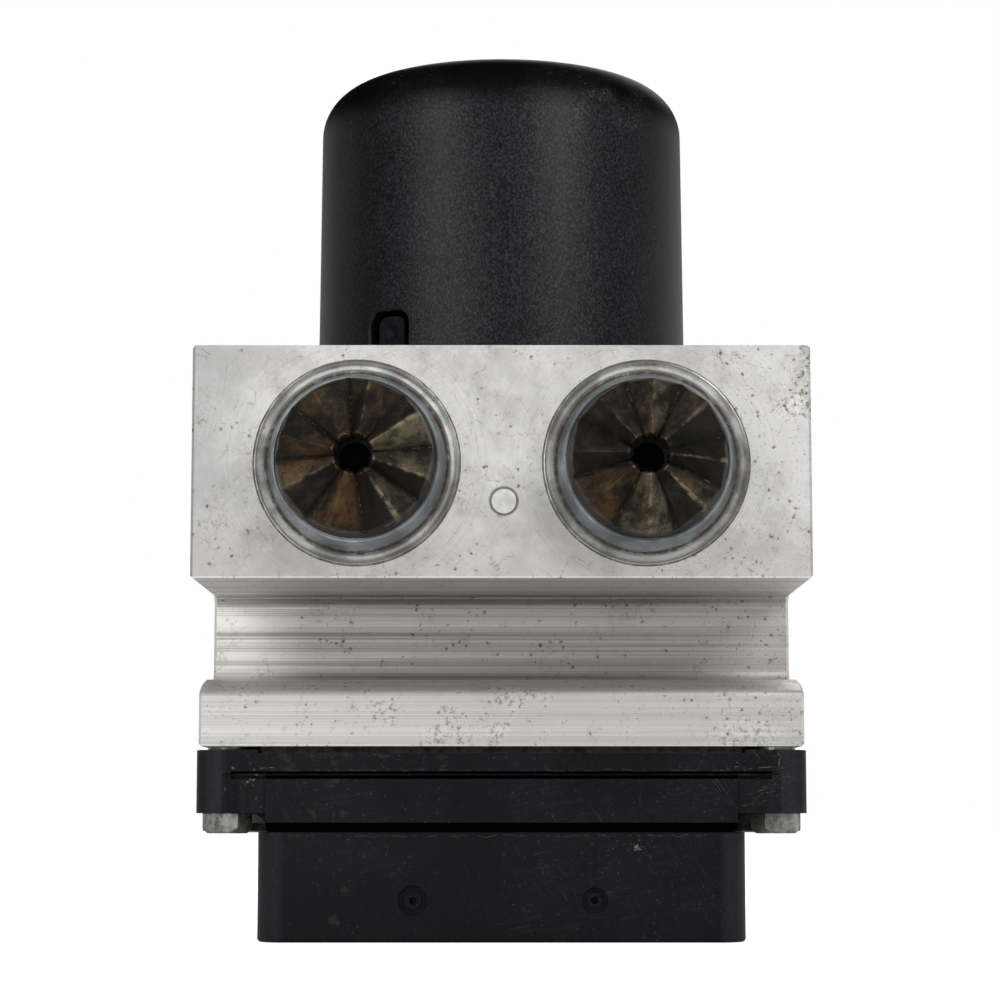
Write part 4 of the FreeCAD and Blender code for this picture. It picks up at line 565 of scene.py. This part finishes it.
def can_paint_finish():
    """Semi-matte black paint: fine grey mottle, cloudy rub, thin scratches, and a smooth shoulder darkened
    with painted shade.
    """
    look = Look("can_paint", Metallic=0.0, IOR=1.5)
    high = look.axis("Z")
    side = look.axis("X")
    mottle = look.noise(2200.0, 4.0, 0.68, look.moved(look.place, turn=(0, 18, 0), scale=(1, 1, 0.8)))
    cloud = look.noise(38.0, 4.0, 0.6)
    smooth = look.band(high, CAN_TOP - 13 * MM, CAN_TOP - 5 * MM)
    left_part = look.band(side, -30 * MM, -19 * MM, 0.25, 1.0)
    right_part = look.band(side, 26 * MM, 32 * MM, 1.0, 0.15)
    grainy = look.times(look.times(left_part, right_part), look.less(1.0, smooth))
    crumb = look.times(look.band(mottle, 0.4, 0.7), grainy)
    colour = look.mix(crumb, tone(8, 8, 9), tone(37, 38, 44))
    colour = look.over(colour, look.band(cloud, 0.4, 0.7, 0.0, 0.35), (17, 18, 22))
    # Painted shade: the smooth shoulder at the top nearly black
    colour = look.over(colour, smooth, (8, 8, 9))

    # Scratches, most of them in a rub near the top right, and a little dust
    lines = look.most(
        look.scratches((0, 70, 20), 9 * MM, 0.4 * MM, 0.13),
        look.scratches((0, 110, 60), 8 * MM, 0.4 * MM, 0.1),
    )
    rub = look.spot((26 * MM, -28 * MM, 168 * MM), 6 * MM, 0.8)
    colour = look.over(colour, look.times(lines, look.plus(rub, 0.16, held=True)), (110, 110, 112))
    dust = look.times(look.fade(look.cells(420.0), 0.05, 0.12), look.band(cloud, 0.5, 0.6, 0.0, 0.5))
    colour = look.over(colour, dust, (88, 86, 84))
    gloss = look.band(mottle, 0.4, 0.68, 0.17, 0.34)
    below_shoulder = look.band(high, CAN_TOP - 13 * MM, CAN_TOP - 6 * MM, 1.0, 0.05)
    look.feed(look.shader.inputs["Specular IOR Level"], look.times(gloss, below_shoulder))
    rough = look.band(mottle, 0.3, 0.7, 0.34, 0.48)
    return look.done(colour, rough, look.bump(mottle, 0.035 * MM, 0.6))


def shaded_slot_and_neck(look, across, high, deep):
    """1 in the frame's slot and in the neck between frame and case, where painted shade makes the plastic
    nearly black.
    """
    behind = look.band(deep, FLANGE_Y + 0.2 * MM, FLANGE_Y + 0.5 * MM)
    steps = []
    for depth, end in SLOT_STEPS:
        level = look.within(high, SLOT_TOP_Z - depth, SLOT_TOP_Z, 0.05 * MM)
        steps.append(look.times(level, look.fade(across, end, end + 0.2 * MM)))
    in_slot = look.times(look.most(*steps), behind)
    in_neck = look.times(
        look.within(high, *NECK_Z, 0.1 * MM), look.fade(across, NECK_END_X, NECK_END_X + 0.5 * MM)
    )
    return look.times(look.most(in_slot, in_neck), look.band(deep, 0.0, 10 * MM, 1.0, 0.4))


def black_plastic_finish():
    """Blue-black moulded plastic: fine grain, pale specks, painted highlights on the rounded corners,
    painted shade in the slot and neck.
    """
    look = Look("moulded_plastic", Metallic=0.0, IOR=1.5)
    grain = look.noise(1900.0, 3.0, 0.6)
    cloud = look.noise(45.0, 4.0, 0.6)
    side = look.axis("X")
    across = look.size_of(side)
    high = look.axis("Z")
    deep = look.axis("Y")
    colour = look.mix(look.band(cloud, 0.3, 0.7), tone(7, 8, 12), tone(14, 15, 21))
    colour = look.over(colour, look.band(grain, 0.55, 0.72, 0.0, 0.3), (44, 45, 50))
    specks = look.times(look.fade(look.cells(640.0), 0.06, 0.14), look.band(cloud, 0.4, 0.6))
    colour = look.over(colour, specks, (84, 84, 86), 0.35)
    lines = look.most(
        look.scratches((0, 12, 0), 14 * MM, 0.5 * MM, 0.12),
        look.scratches((0, -55, 0), 9 * MM, 0.4 * MM, 0.1),
    )
    rubbed = look.spot((53 * MM, FLANGE_Y, 33 * MM), 9 * MM, 0.6)
    lines = look.times(lines, look.plus(rubbed, 0.14, held=True))

    # Pale chipped lines near the frame's right corner and along its slot, and a few small marks
    warp = look.times(look.less(look.noise(420.0, 4.0, 0.6), 0.5), 1.6 * MM)
    bent_high = look.plus(high, warp)
    bent_side = look.plus(side, warp)
    ways = {"X": (bent_high, side), "Z": (bent_side, high)}
    flakes = look.band(look.noise(520.0, 4.0, 0.7), 0.44, 0.58)
    chips = []
    for axis, place, half_width, start, end, strength in CHIPS:
        value, along = ways[axis]
        chips.append(look.dash(value, place * MM, half_width * MM, along, start * MM, end * MM, strength))
    front = look.fade(deep, FLANGE_Y + 0.2 * MM, FLANGE_Y + 0.5 * MM)
    chips = look.times(look.most(*chips), front)
    star = look.spot((26.7 * MM, CASE_FRONT_Y, 18.7 * MM), 0.55 * MM, 0.9)
    dusty = look.spot((-33 * MM, FLANGE_Y, 36.8 * MM), 4 * MM, 0.95)
    post_dirt = look.spot((-50 * MM, FLANGE_Y, 32.2 * MM), 0.9 * MM, 0.9)
    lip = look.dash(bent_high, 20.9 * MM, 0.08 * MM, side, -42 * MM, 46 * MM, 0.35)
    flaked = ((chips, 0.75), (star, 0.6), (dusty, 0.05), (post_dirt, 0.6), (lip, 0.6))
    marks = look.most(
        look.times(lines, 0.4),
        *(look.times(look.times(mark, flakes), strength) for mark, strength in flaked),
    )
    colour = look.over(colour, marks, (140, 132, 116))

    # Painted highlights: the rounded corners of frame and case a little paler
    on_case = look.fade(high, 21.0 * MM, 22.0 * MM)
    post = look.times(look.within(across, 56.0 * MM, 57.8 * MM, 2.2 * MM), look.less(1.0, on_case))
    corner = look.times(look.within(across, 45.0 * MM, 47.0 * MM, 2.2 * MM), on_case)
    corners = look.most(post, look.times(corner, 0.8))
    pale = look.times(corners, look.band(grain, 0.3, 0.7, 0.3, 0.6))
    colour = look.over(colour, pale, (45, 46, 51))
    # Painted shade: slot and neck nearly black, with less shine
    slot_and_neck_shade = shaded_slot_and_neck(look, across, high, deep)
    colour = look.over(colour, slot_and_neck_shade, (2, 2, 2))
    shine = look.less(0.13, look.times(slot_and_neck_shade, 0.12))
    look.feed(look.shader.inputs["Specular IOR Level"], shine)
    rough = look.band(grain, 0.3, 0.7, 0.4, 0.56)
    return look.done(colour, rough, look.bump(grain, 0.04 * MM, 0.7))


def pleat_finish():
    """Oxidised sheet: rusty or grey folds with painted light and shade on their flanks, crests rubbed to
    beige metal, valleys nearly black with painted shade and crumbs of dirt.

    The mesh says for each point how high it is on its fold, how grey its flank is, how much painted light or
    shade it takes, how worn its crest is, and in along_folds its angle and its way in from the skirt.
    """
    look = Look("pleated_sheet", Metallic=0.2, IOR=1.5, Specular_IOR_Level=0.25)
    fold, greyness, painted_light, wear = (
        look.node("Attribute", {}, output=2, attribute_name=label)
        for label in ("fold", "greyness", "painted_light", "wear")
    )
    drawn = look.node("UVMap", {}, uv_map="along_folds")
    way_in = look.axis("Y", drawn)
    grain = look.noise(1.0, 5.0, 0.7, look.moved(drawn, scale=(60, 7, 1)))
    patch = look.noise(230.0, 6.0, 0.78)
    speck = look.noise(1500.0, 3.0, 0.7)
    patchy = look.band(patch, 0.4, 0.6)
    rust = look.mix(patchy, tone(20, 13, 7), tone(90, 58, 24))
    grey = look.mix(patchy, tone(33, 31, 25), tone(104, 96, 74))
    colour = look.mix(greyness, rust, grey)
    colour = look.over(colour, look.band(speck, 0.46, 0.7, 0.0, 0.35), (112, 96, 68))

    # Painted light: lit flanks paler towards their crest, dim ones nearly black with painted shade; grain
    # runs along the folds
    lit = look.times(look.band(fold, 0.3, 0.95), look.band(painted_light, 0.65, 1.1))
    lit = look.times(lit, look.band(patch, 0.4, 0.6, 0.2, 0.75))
    colour = look.mix(lit, colour, look.mix(greyness, tone(112, 79, 36), tone(134, 126, 102)))
    flank_shade = look.plus(painted_light, look.times(look.less(patch, 0.5), 1.8))
    colour = look.over(colour, look.band(flank_shade, 0.35, 1.5, 0.98, 0.05), (11, 9, 6))
    colour = look.over(colour, look.fade(grain, 0.35, 0.7, 0.5), (14, 11, 9))

    # Rubbed crests, a painted highlight along the folds' outer edges, and valleys darkened with painted
    # shade, with crumbs of dirt
    ragged = look.plus(fold, look.times(look.less(grain, 0.5), 0.12))
    wide = look.plus(ragged, look.times(wear, 0.05))
    rubbed = look.times(look.band(wide, 0.94, 1.05), look.band(patch, 0.42, 0.6))
    worn = look.times(rubbed, wear)
    colour = look.over(colour, worn, (152, 136, 108), 0.7)
    outer_edge_highlight = look.times(look.near(way_in, 0.05, 0.014), look.band(patch, 0.44, 0.56))
    colour = look.over(colour, outer_edge_highlight, (118, 104, 86), 0.5)
    colour = look.over(colour, look.fade(way_in, 0.02, 0.04), (40, 32, 25), 0.8)
    # Painted shade: the valleys nearly black
    colour = look.over(colour, look.fade(ragged, 0.02, 0.3), (5, 4, 3), 0.93)
    crumbs = look.times(look.fade(fold, 0.0, 0.05), look.band(speck, 0.56, 0.62))
    colour = look.over(colour, crumbs, (148, 120, 78), 0.7)

    # Pale rim of the hole, and painted shade that turns the sheet black where it goes into the hole
    hole_edge = look.times(look.within(way_in, 0.925, 0.948, 0.01), look.band(speck, 0.46, 0.58))
    colour = look.over(colour, look.times(hole_edge, fold), (140, 132, 116), 0.6)
    inside = look.band(way_in, 0.958, 0.968)
    colour = look.over(colour, inside, (1, 1, 1))
    rough = look.most(look.band(worn, 0.0, 1.0, 0.52, 0.34), inside)
    relief = look.plus(patch, look.times(grain, 0.6))
    return look.done(colour, rough, look.bump(relief, 0.5 * MM, 1.0))


def metal_finish(name, dark, light, scale, rough_low, rough_high, stretch=(1, 1, 1), metallic=1.0):
    """Plain metal or coating: two tones mixed by noise, which may be drawn out along one axis."""
    look = Look(name, Metallic=metallic, IOR=1.5)
    grain = look.noise(scale, 4.0, 0.6, look.moved(look.place, scale=stretch))
    patch = look.noise(scale * 0.2, 4.0, 0.6)
    colour = look.mix(look.band(grain, 0.3, 0.7), tone(*dark), tone(*light))
    colour = look.over(colour, look.band(patch, 0.45, 0.75, 0.0, 0.5), dark)
    rough = look.band(grain, 0.3, 0.7, rough_high, rough_low)
    return look.done(colour, rough, look.bump(grain, 0.03 * MM, 0.5))


FINISHES = {
    "milled_aluminium": milled_block_finish(),
    "turned_aluminium": turned_finish(),
    "black_paint": can_paint_finish(),
    "oxidised_sheet": pleat_finish(),
    "black_plastic": black_plastic_finish(),
    "zinc_steel": metal_finish("zinc_plate", (84, 83, 77), (158, 157, 151), 520, 0.26, 0.42, metallic=0.75),
    "plain_steel": metal_finish("ground_steel", (150, 150, 152), (188, 188, 190), 900, 0.25, 0.4),
    "spring_steel": metal_finish("spring_wire", (96, 97, 102), (140, 141, 146), 900, 0.3, 0.42),
    "brown_gasket": metal_finish("gasket", (12, 7, 4), (58, 34, 20), 700, 0.7, 0.9, metallic=0.0),
    "black_rubber": metal_finish("seal_rubber", (20, 20, 20), (32, 32, 32), 800, 0.6, 0.7, metallic=0.0),
    "board_green": metal_finish("board_lacquer", (18, 66, 34), (30, 92, 50), 300, 0.3, 0.4, metallic=0.0),
    "tinned_brass": metal_finish("tinned_pins", (186, 182, 172), (214, 211, 202), 800, 0.22, 0.32),
    "copper": metal_finish("enamelled_copper", (150, 84, 44), (196, 120, 72), 900, 0.25, 0.38, (1, 1, 12)),
    "laminated_steel": metal_finish(
        "laminations", (96, 96, 99), (146, 146, 150), 900, 0.35, 0.5, (0.02, 0.02, 3)
    ),
    "ferrite": metal_finish("ferrite_grain", (58, 58, 61), (76, 76, 79), 1200, 0.5, 0.65, metallic=0.0),
    "carbon": metal_finish("carbon_grain", (34, 34, 35), (52, 52, 53), 1400, 0.45, 0.6, metallic=0.0),
}


def repaint(node, finish):
    """Gives every material slot of an object one finish."""
    for slot in node.material_slots:
        slot.material = finish


def slot_of(node):
    """The record's material slot that a CAD node came with."""
    names = [slot.material.name.split(".")[0] for slot in node.material_slots]
    return next(name for name in names if name in FINISHES)


SLOTS = {name: slot_of(node) for name, node in frame["nodes"].items()}
for name, node in frame["nodes"].items():
    repaint(node, FINISHES[SLOTS[name]])


def new_object(name, data):
    """An object in the scene for a mesh, lamp or camera."""
    made = bpy.data.objects.new(name, data)
    bpy.context.scene.collection.objects.link(made)
    return made


def smooth_object(name, mesh, sharp):
    """A new object of a mesh, shaded smooth, with its edges sharp past an angle in degrees."""
    mesh.polygons.foreach_set("use_smooth", np.ones(len(mesh.polygons), bool))
    mesh.set_sharp_from_angle(angle=math.radians(sharp))
    return new_object(name, mesh)


def grid_faces(rows, columns, rows_close):
    """Quads over a rows by columns grid of points: each row closes, and the rows may close too."""
    row, column = np.meshgrid(np.arange(rows if rows_close else rows - 1), np.arange(columns), indexing="ij")
    next_row, next_column = (row + 1) % rows, (column + 1) % columns
    corners = [row * columns + column, row * columns + next_column]
    corners += [next_row * columns + next_column, next_row * columns + column]
    return np.stack(corners, -1).reshape(-1, 4)


def closed_piece(name, points, faces, slot, stands_for=(), sharp=40.0):
    """A closed mesh on the housing, its faces turned outwards, which may stand for CAD nodes."""
    mesh = bpy.data.meshes.new(name)
    mesh.from_pydata(points.reshape(-1, 3).tolist(), [], [list(face) for face in faces])
    mesh.validate()
    mesh.materials.append(FINISHES[slot])
    made = smooth_object(name, mesh, sharp)
    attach(made, "housing")
    if stands_for:
        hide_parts(*stands_for)
    shape = bmesh.new()
    shape.from_mesh(mesh)
    bmesh.ops.recalc_face_normals(shape, faces=shape.faces)
    shape.to_mesh(mesh)
    shape.free()
    return made


def dressed(node, name, edge=0.0):
    """A copy of a CAD node on the housing, merged and shaded smooth, its edges rounded by a width."""
    mesh = frame["nodes"][node].data.copy()
    mesh.name = name
    shape = bmesh.new()
    shape.from_mesh(mesh)
    bmesh.ops.remove_doubles(shape, verts=shape.verts, dist=MERGE_REACH)
    if edge:
        bmesh.ops.dissolve_limit(
            shape, angle_limit=math.radians(JOIN_ANGLE), verts=shape.verts, edges=shape.edges, delimit=set()
        )
    shape.to_mesh(mesh)
    shape.free()
    if mesh.has_custom_normals:
        mesh.attributes.remove(mesh.attributes["custom_normal"])
    made = smooth_object(name, mesh, SHARP_ANGLE)
    if edge:
        bevel = made.modifiers.new("rounded_edges", "BEVEL")
        bevel.width = edge
        bevel.segments = 2
        bevel.limit_method = "ANGLE"
        bevel.angle_limit = math.radians(SHARP_ANGLE)
        bevel.use_clamp_overlap = True
        bevel.harden_normals = True
    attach(made, "housing")
    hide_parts(node)
    return made


def turned(name, profile, mouth, node, wobble, seed):
    """A closed profile of (radius, rise) turned about the line forward from a mouth on the face.

    point = mouth + radius (cos a along X, sin a along Z) - rise along Y. A few seeded waves
    round the turn move the radius by up to wobble.
    """
    rng = np.random.default_rng(seed)
    angle = np.linspace(0, TURN, TURNED_STEPS, endpoint=False)
    waves = sum(
        rng.uniform(0.3, 1.0) * np.sin(count * angle + rng.uniform(0, TURN)) for count in (3, 7, 16, 31)
    )
    radius, rise = np.array(profile).T[:, :, None] * MM
    reach = radius + wobble * waves / 4
    x = mouth[0] + reach * np.cos(angle)
    y = mouth[1] - rise + 0 * reach
    z = mouth[2] + reach * np.sin(angle)
    faces = grid_faces(len(profile), TURNED_STEPS, True)
    closed_piece(name, np.stack([x, y, z], -1), faces, "turned_aluminium", (node,))


def smooth_rows(controls, rows):
    """Rows along a quadratic spline through control rings: each row is a weighted sum of three."""
    count = len(controls)
    place = np.linspace(0, count - 2, rows) * (1 - 1e-9)
    left = place.astype(int)
    part = (place - left)[:, None, None]
    first = np.where((left == 0)[:, None, None], (1 - part) ** 2, (1 - part) ** 2 / 2)
    last = np.where((left == count - 3)[:, None, None], part**2, part**2 / 2)
    middle = 1 - first - last
    return first * controls[left] + middle * controls[left + 1] + last * controls[left + 2]


def folds_round(side):
    """For each angle round a cover: the fold it is on, if it is before the crest, and its height.

    part runs evenly from 0 in a valley to 1 on the crest, and fold is part with a rounded crest:
    1.03 - sqrt((1.03 - part^0.9)^2 + 0.03^2) + 0.03 part.
    """
    crests = np.radians(CRESTS[side])
    valleys = np.radians(VALLEYS[side])
    angle = np.linspace(valleys[0], valleys[0] + TURN, COVER_COLUMNS, endpoint=False)
    ends = np.append(valleys, valleys[0] + TURN)
    number = np.searchsorted(ends, angle, side="right") - 1
    crest, low, high = crests[number], ends[number], ends[number + 1]
    before = angle < crest
    part = np.where(before, (angle - low) / (crest - low), (high - angle) / (high - crest))
    fold = 1.03 - np.sqrt((1.03 - part**0.9) ** 2 + 0.03**2) + 0.03 * part
    return angle, number, before, part, np.clip(fold, 0, 1)


def cover_controls(number, part, fold, end_shift, end_lift):
    """Control rings of a cover: each is its valley's radius and rise plus fold times the crest's more.

    Between crest and valley the outer rings are pulled in to a chord, by 4 part (1 - part), and
    each fold's outer end has its own shift and lift.
    """
    chord = 4 * part * (1 - part)
    controls = []
    for place, (valley, crest) in enumerate(COVER_RINGS):
        radius = valley[0] + fold * (crest[0] - valley[0])
        if 2 <= place <= 5:
            radius = radius - CHORD_PULL * chord + end_shift[number] * fold
        rise = valley[1] + fold * (crest[1] - valley[1])
        if 3 <= place <= 5:
            rise = rise + end_lift[number] * fold * (1 - abs(place - 4) * 0.4)
        controls.append(np.stack([radius, rise], -1))
    return np.array(controls)


def dents_over(angle, inward, rng):
    """Seeded dents: a sum of waves, each depth times sin(count angle + along pi inward + start)."""
    dents = np.zeros(inward.shape)
    for _ in range(DENT_WAVES):
        count = rng.integers(3, 26)
        along = rng.uniform(1.0, 6.0)
        dents = dents + rng.uniform(0.02, 0.07) * np.sin(
            count * angle + along * inward * np.pi + rng.uniform(0, TURN)
        )
    return dents


def mark_folds(mesh, side, angle, number, before, fold, inward):
    """Gives a cover's mesh what pleat_finish reads: four values a point, and the map along_folds."""
    layers = 2 * COVER_ROWS
    flank = 2 * number + (~before).astype(int)
    looks = {
        "fold": fold,
        "greyness": np.array(GREYNESS[side])[flank],
        "painted_light": np.array(PAINTED_LIGHT[side])[flank],
        "wear": np.array(WEAR[side])[number],
    }
    for label, values in looks.items():
        layer = mesh.attributes.new(label, "FLOAT", "POINT")
        layer.data.foreach_set("value", np.tile(values, layers).astype(np.float32))
    corner = np.zeros(len(mesh.loops), np.int32)
    mesh.loops.foreach_get("vertex_index", corner)
    way_in = np.concatenate([inward, inward[::-1]]).reshape(-1)[corner]
    way_round = np.tile(angle, layers)[corner]
    places = np.stack([way_round, way_in], -1).astype(np.float32)
    mesh.uv_layers.new(name="along_folds").data.foreach_set("uv", places.reshape(-1))


def pleated_cover(side, mouth, seed):
    """Folded sheet cover in one skin of two sides, with eight folds round its hole.

    Rows follow a spline through the control rings, and seeded waves dent the sheet, all but the
    skirt. A point is mouth + radius (sin a along X, cos a along Z) - rise along Y. The inner side
    is the same rows moved in by the sheet's thickness.
    """
    rng = np.random.default_rng(seed)
    end_shift = rng.uniform(-0.45, 0.1, COVER_FOLDS)
    lean = rng.uniform(-0.5, 0.5, COVER_FOLDS)
    end_lift = rng.uniform(-0.35, 0.25, COVER_FOLDS)
    angle, number, before, part, fold = folds_round(side)
    controls = cover_controls(number, part, fold, end_shift, end_lift)
    radius, rise = np.moveaxis(smooth_rows(controls, COVER_ROWS), -1, 0)
    inward = (SKIRT_RADIUS - radius) / SKIRT_TO_HOLE
    free = np.clip((rise - 9.0) / 2.0, 0, 1)
    rise = rise + dents_over(angle, inward, rng) * free
    swing = angle + np.radians(3.0) * lean[number] * np.clip(inward, 0, 1) * free
    skins = []
    for shift in (0.0, COVER_SHEET):
        reach = radius - shift * (1 - free * (1 - inward)) * 0.6
        lift = rise - shift * free
        x = mouth[0] + reach * MM * np.sin(swing)
        y = mouth[1] - lift * MM
        z = mouth[2] + reach * MM * np.cos(swing)
        skins.append(np.stack([x, y, z], -1))
    points = np.concatenate([skins[0], skins[1][::-1]])
    faces = grid_faces(2 * COVER_ROWS, COVER_COLUMNS, True)
    node = "fluted_cover_" + side
    made = closed_piece("pleats_" + side, points, faces, "oxidised_sheet", (node,), sharp=60.0)
    mark_folds(made.data, side, angle, number, before, fold, inward)


def notch_path():
    """Path of the bead round the can's notch, and the way out of the can at each point of it.

    On the can laid flat it has straight sides and two quarter circles as shoulders:
    (-half width + r (1 - cos a), height - r + r sin a). It is then wrapped round the can.
    """
    corner = np.linspace(0, np.pi / 2, 12)
    shoulder_z = NOTCH_HEIGHT - NOTCH_ROUNDING
    run_z = np.linspace(0.3 * MM, shoulder_z, 8, endpoint=False)
    left_run = np.stack([np.full(8, -NOTCH_HALF_WIDTH), run_z], -1)
    turn_x = NOTCH_ROUNDING * (1 - np.cos(corner)) - NOTCH_HALF_WIDTH
    left_turn = np.stack([turn_x, shoulder_z + NOTCH_ROUNDING * np.sin(corner)], -1)
    left_half = np.concatenate([left_run, left_turn])
    across, rise = np.concatenate([left_half, (left_half * (-1, 1))[::-1]]).T
    swing = across / CAN_RADIUS - NOTCH_TURN
    ways_out = np.stack([np.sin(swing), -np.cos(swing), 0 * swing], -1)
    heights = np.stack([0 * swing, 0 * swing, BLOCK_TOP + rise], -1)
    return ways_out * (CAN_RADIUS - 0.02 * MM) + heights, ways_out


def bead(name, path, ways_out, radius, slot):
    """A round bead along a path: each ring is path + radius (cos a way out + sin a binormal).

    The two ends are shut by flat faces.
    """
    tangent = np.gradient(path, axis=0)
    tangent /= np.linalg.norm(tangent, axis=1)[:, None]
    binormal = np.cross(tangent, ways_out)
    binormal /= np.linalg.norm(binormal, axis=1)[:, None]
    angle = np.linspace(0, TURN, BEAD_SIDES, endpoint=False)[None, :, None]
    rings = path[:, None] + radius * (np.cos(angle) * ways_out[:, None] + np.sin(angle) * binormal[:, None])
    faces = grid_faces(len(path), BEAD_SIDES, False).tolist()
    first_ring = list(range(BEAD_SIDES))
    last_ring = [(len(path) - 1) * BEAD_SIDES + number for number in first_ring]
    closed_piece(name, rings, faces + [first_ring[::-1], last_ring], slot)


# Covers, caps and collars in the two bores
for seed, (side, sign) in enumerate((("left", -1), ("right", 1))):
    mouth = (sign * BORE_X, FRONT_Y, BORE_Z)
    pleated_cover(side, mouth, seed + 11)
    turned("collar_" + side, COLLAR_PROFILE, mouth, "cover_collar_" + side, 0.03 * MM, seed + 3)
    turned("cap_" + side, CAP_PROFILE, mouth, "cover_cap_" + side, 0.02 * MM, seed + 3)

# Main forms with their edges rounded; the press plug has a smoother finish than the block
forms = {name: dressed(node, name, edge) for node, name, edge in DRESSED}
plug_finish = metal_finish("pressed_plug", (196, 195, 192), (226, 226, 223), 420, 0.42, 0.55, metallic=0.6)
repaint(forms["face_plug"], plug_finish)

# Smooth copies of the springs listed as deforming nodes of the joints, each with a mesh of its own
for joint in frame["joints"]:
    for spring in joint.get("deforming_nodes", []):
        coil = dressed(spring["node"], "coil_" + spring["node"])
        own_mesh(coil)

bead("notch_bead", *notch_path(), BEAD_RADIUS, "black_paint")


def floor_finish():
    """Pale matt floor that a camera sees as white, apart from the object's shadow."""
    look = Look("pale_floor")
    matt = look.node("BsdfDiffuse", {"Color": (0.8, 0.8, 0.8, 1)})
    _, seen = look.camera_sees()
    glow = look.node("Emission", {"Color": (1, 1, 1, 1), "Strength": look.times(seen, FLOOR_GLOW)})
    both = look.node("AddShader", {0: matt, 1: glow})
    look.tree.links.new(both, look.tree.nodes["Material Output"].inputs["Surface"])
    look.tree.nodes.remove(look.shader)
    return look.material


def pale_floor():
    """A square floor just under the object."""
    mesh = bpy.data.meshes.new("floor")
    corners = [(-1, -1), (1, -1), (1, 1), (-1, 1)]
    mesh.from_pydata([(x * FLOOR_REACH, y * FLOOR_REACH, FLOOR_Z) for x, y in corners], [], [(0, 1, 2, 3)])
    mesh.materials.append(floor_finish())
    new_object("floor", mesh)


def studio_world():
    """White to the camera. Mirror rays see white behind the object, grey in front and dark above.

    What lights the object is an even pale grey.
    """
    world = bpy.data.worlds.new("studio")
    bpy.context.scene.world = world
    world.use_nodes = True
    studio = Nodes(world.node_tree)
    way = studio.coordinates["Generated"]
    rays, seen = studio.camera_sees()
    behind, above, sideways = (
        studio.node("MapRange", dict(enumerate([studio.axis(name, way), *span]))) for name, *span in MIRRORED
    )
    mirrored = studio.times(studio.times(behind, above), sideways)
    lit = studio.node("Mix", {"Factor": rays["Is Glossy Ray"], 2: AMBIENT, 3: mirrored}, data_type="FLOAT")
    strength = studio.node("Mix", {"Factor": seen, 2: lit, 3: 1.0}, data_type="FLOAT")
    background = studio.tree.nodes["Background"].inputs
    studio.feed(background["Strength"], strength)
    background["Color"].default_value = (1, 1, 1, 1)


def lamp(name, place, target, size, power):
    """A soft rectangular lamp at a place, facing a target."""
    data = bpy.data.lights.new(name, "AREA")
    data.shape = "RECTANGLE"
    data.size, data.size_y = size
    data.energy = power
    made = new_object(name, data)
    made.location = place
    way = np.array(target) - np.array(place)
    tilt = math.atan2(math.hypot(way[0], way[1]), -way[2])
    made.rotation_euler = (tilt, 0, math.atan2(way[1], way[0]) - math.pi / 2)


def photo_camera():
    """The photo's camera: close, at the height of the controller and tilted up."""
    data = bpy.data.cameras.new("camera")
    data.lens = LENS_MM
    data.sensor_width = SENSOR_MM
    data.clip_start = 0.01
    data.clip_end = 50.0
    camera = new_object("camera", data)
    camera.location = CAMERA_PLACE
    camera.rotation_euler = (CAMERA_TILT, 0, 0)
    bpy.context.scene.camera = camera


pale_floor()
studio_world()
for row in LAMPS:
    lamp(*row)
photo_camera()
bpy.context.scene.view_settings.view_transform = "Standard"
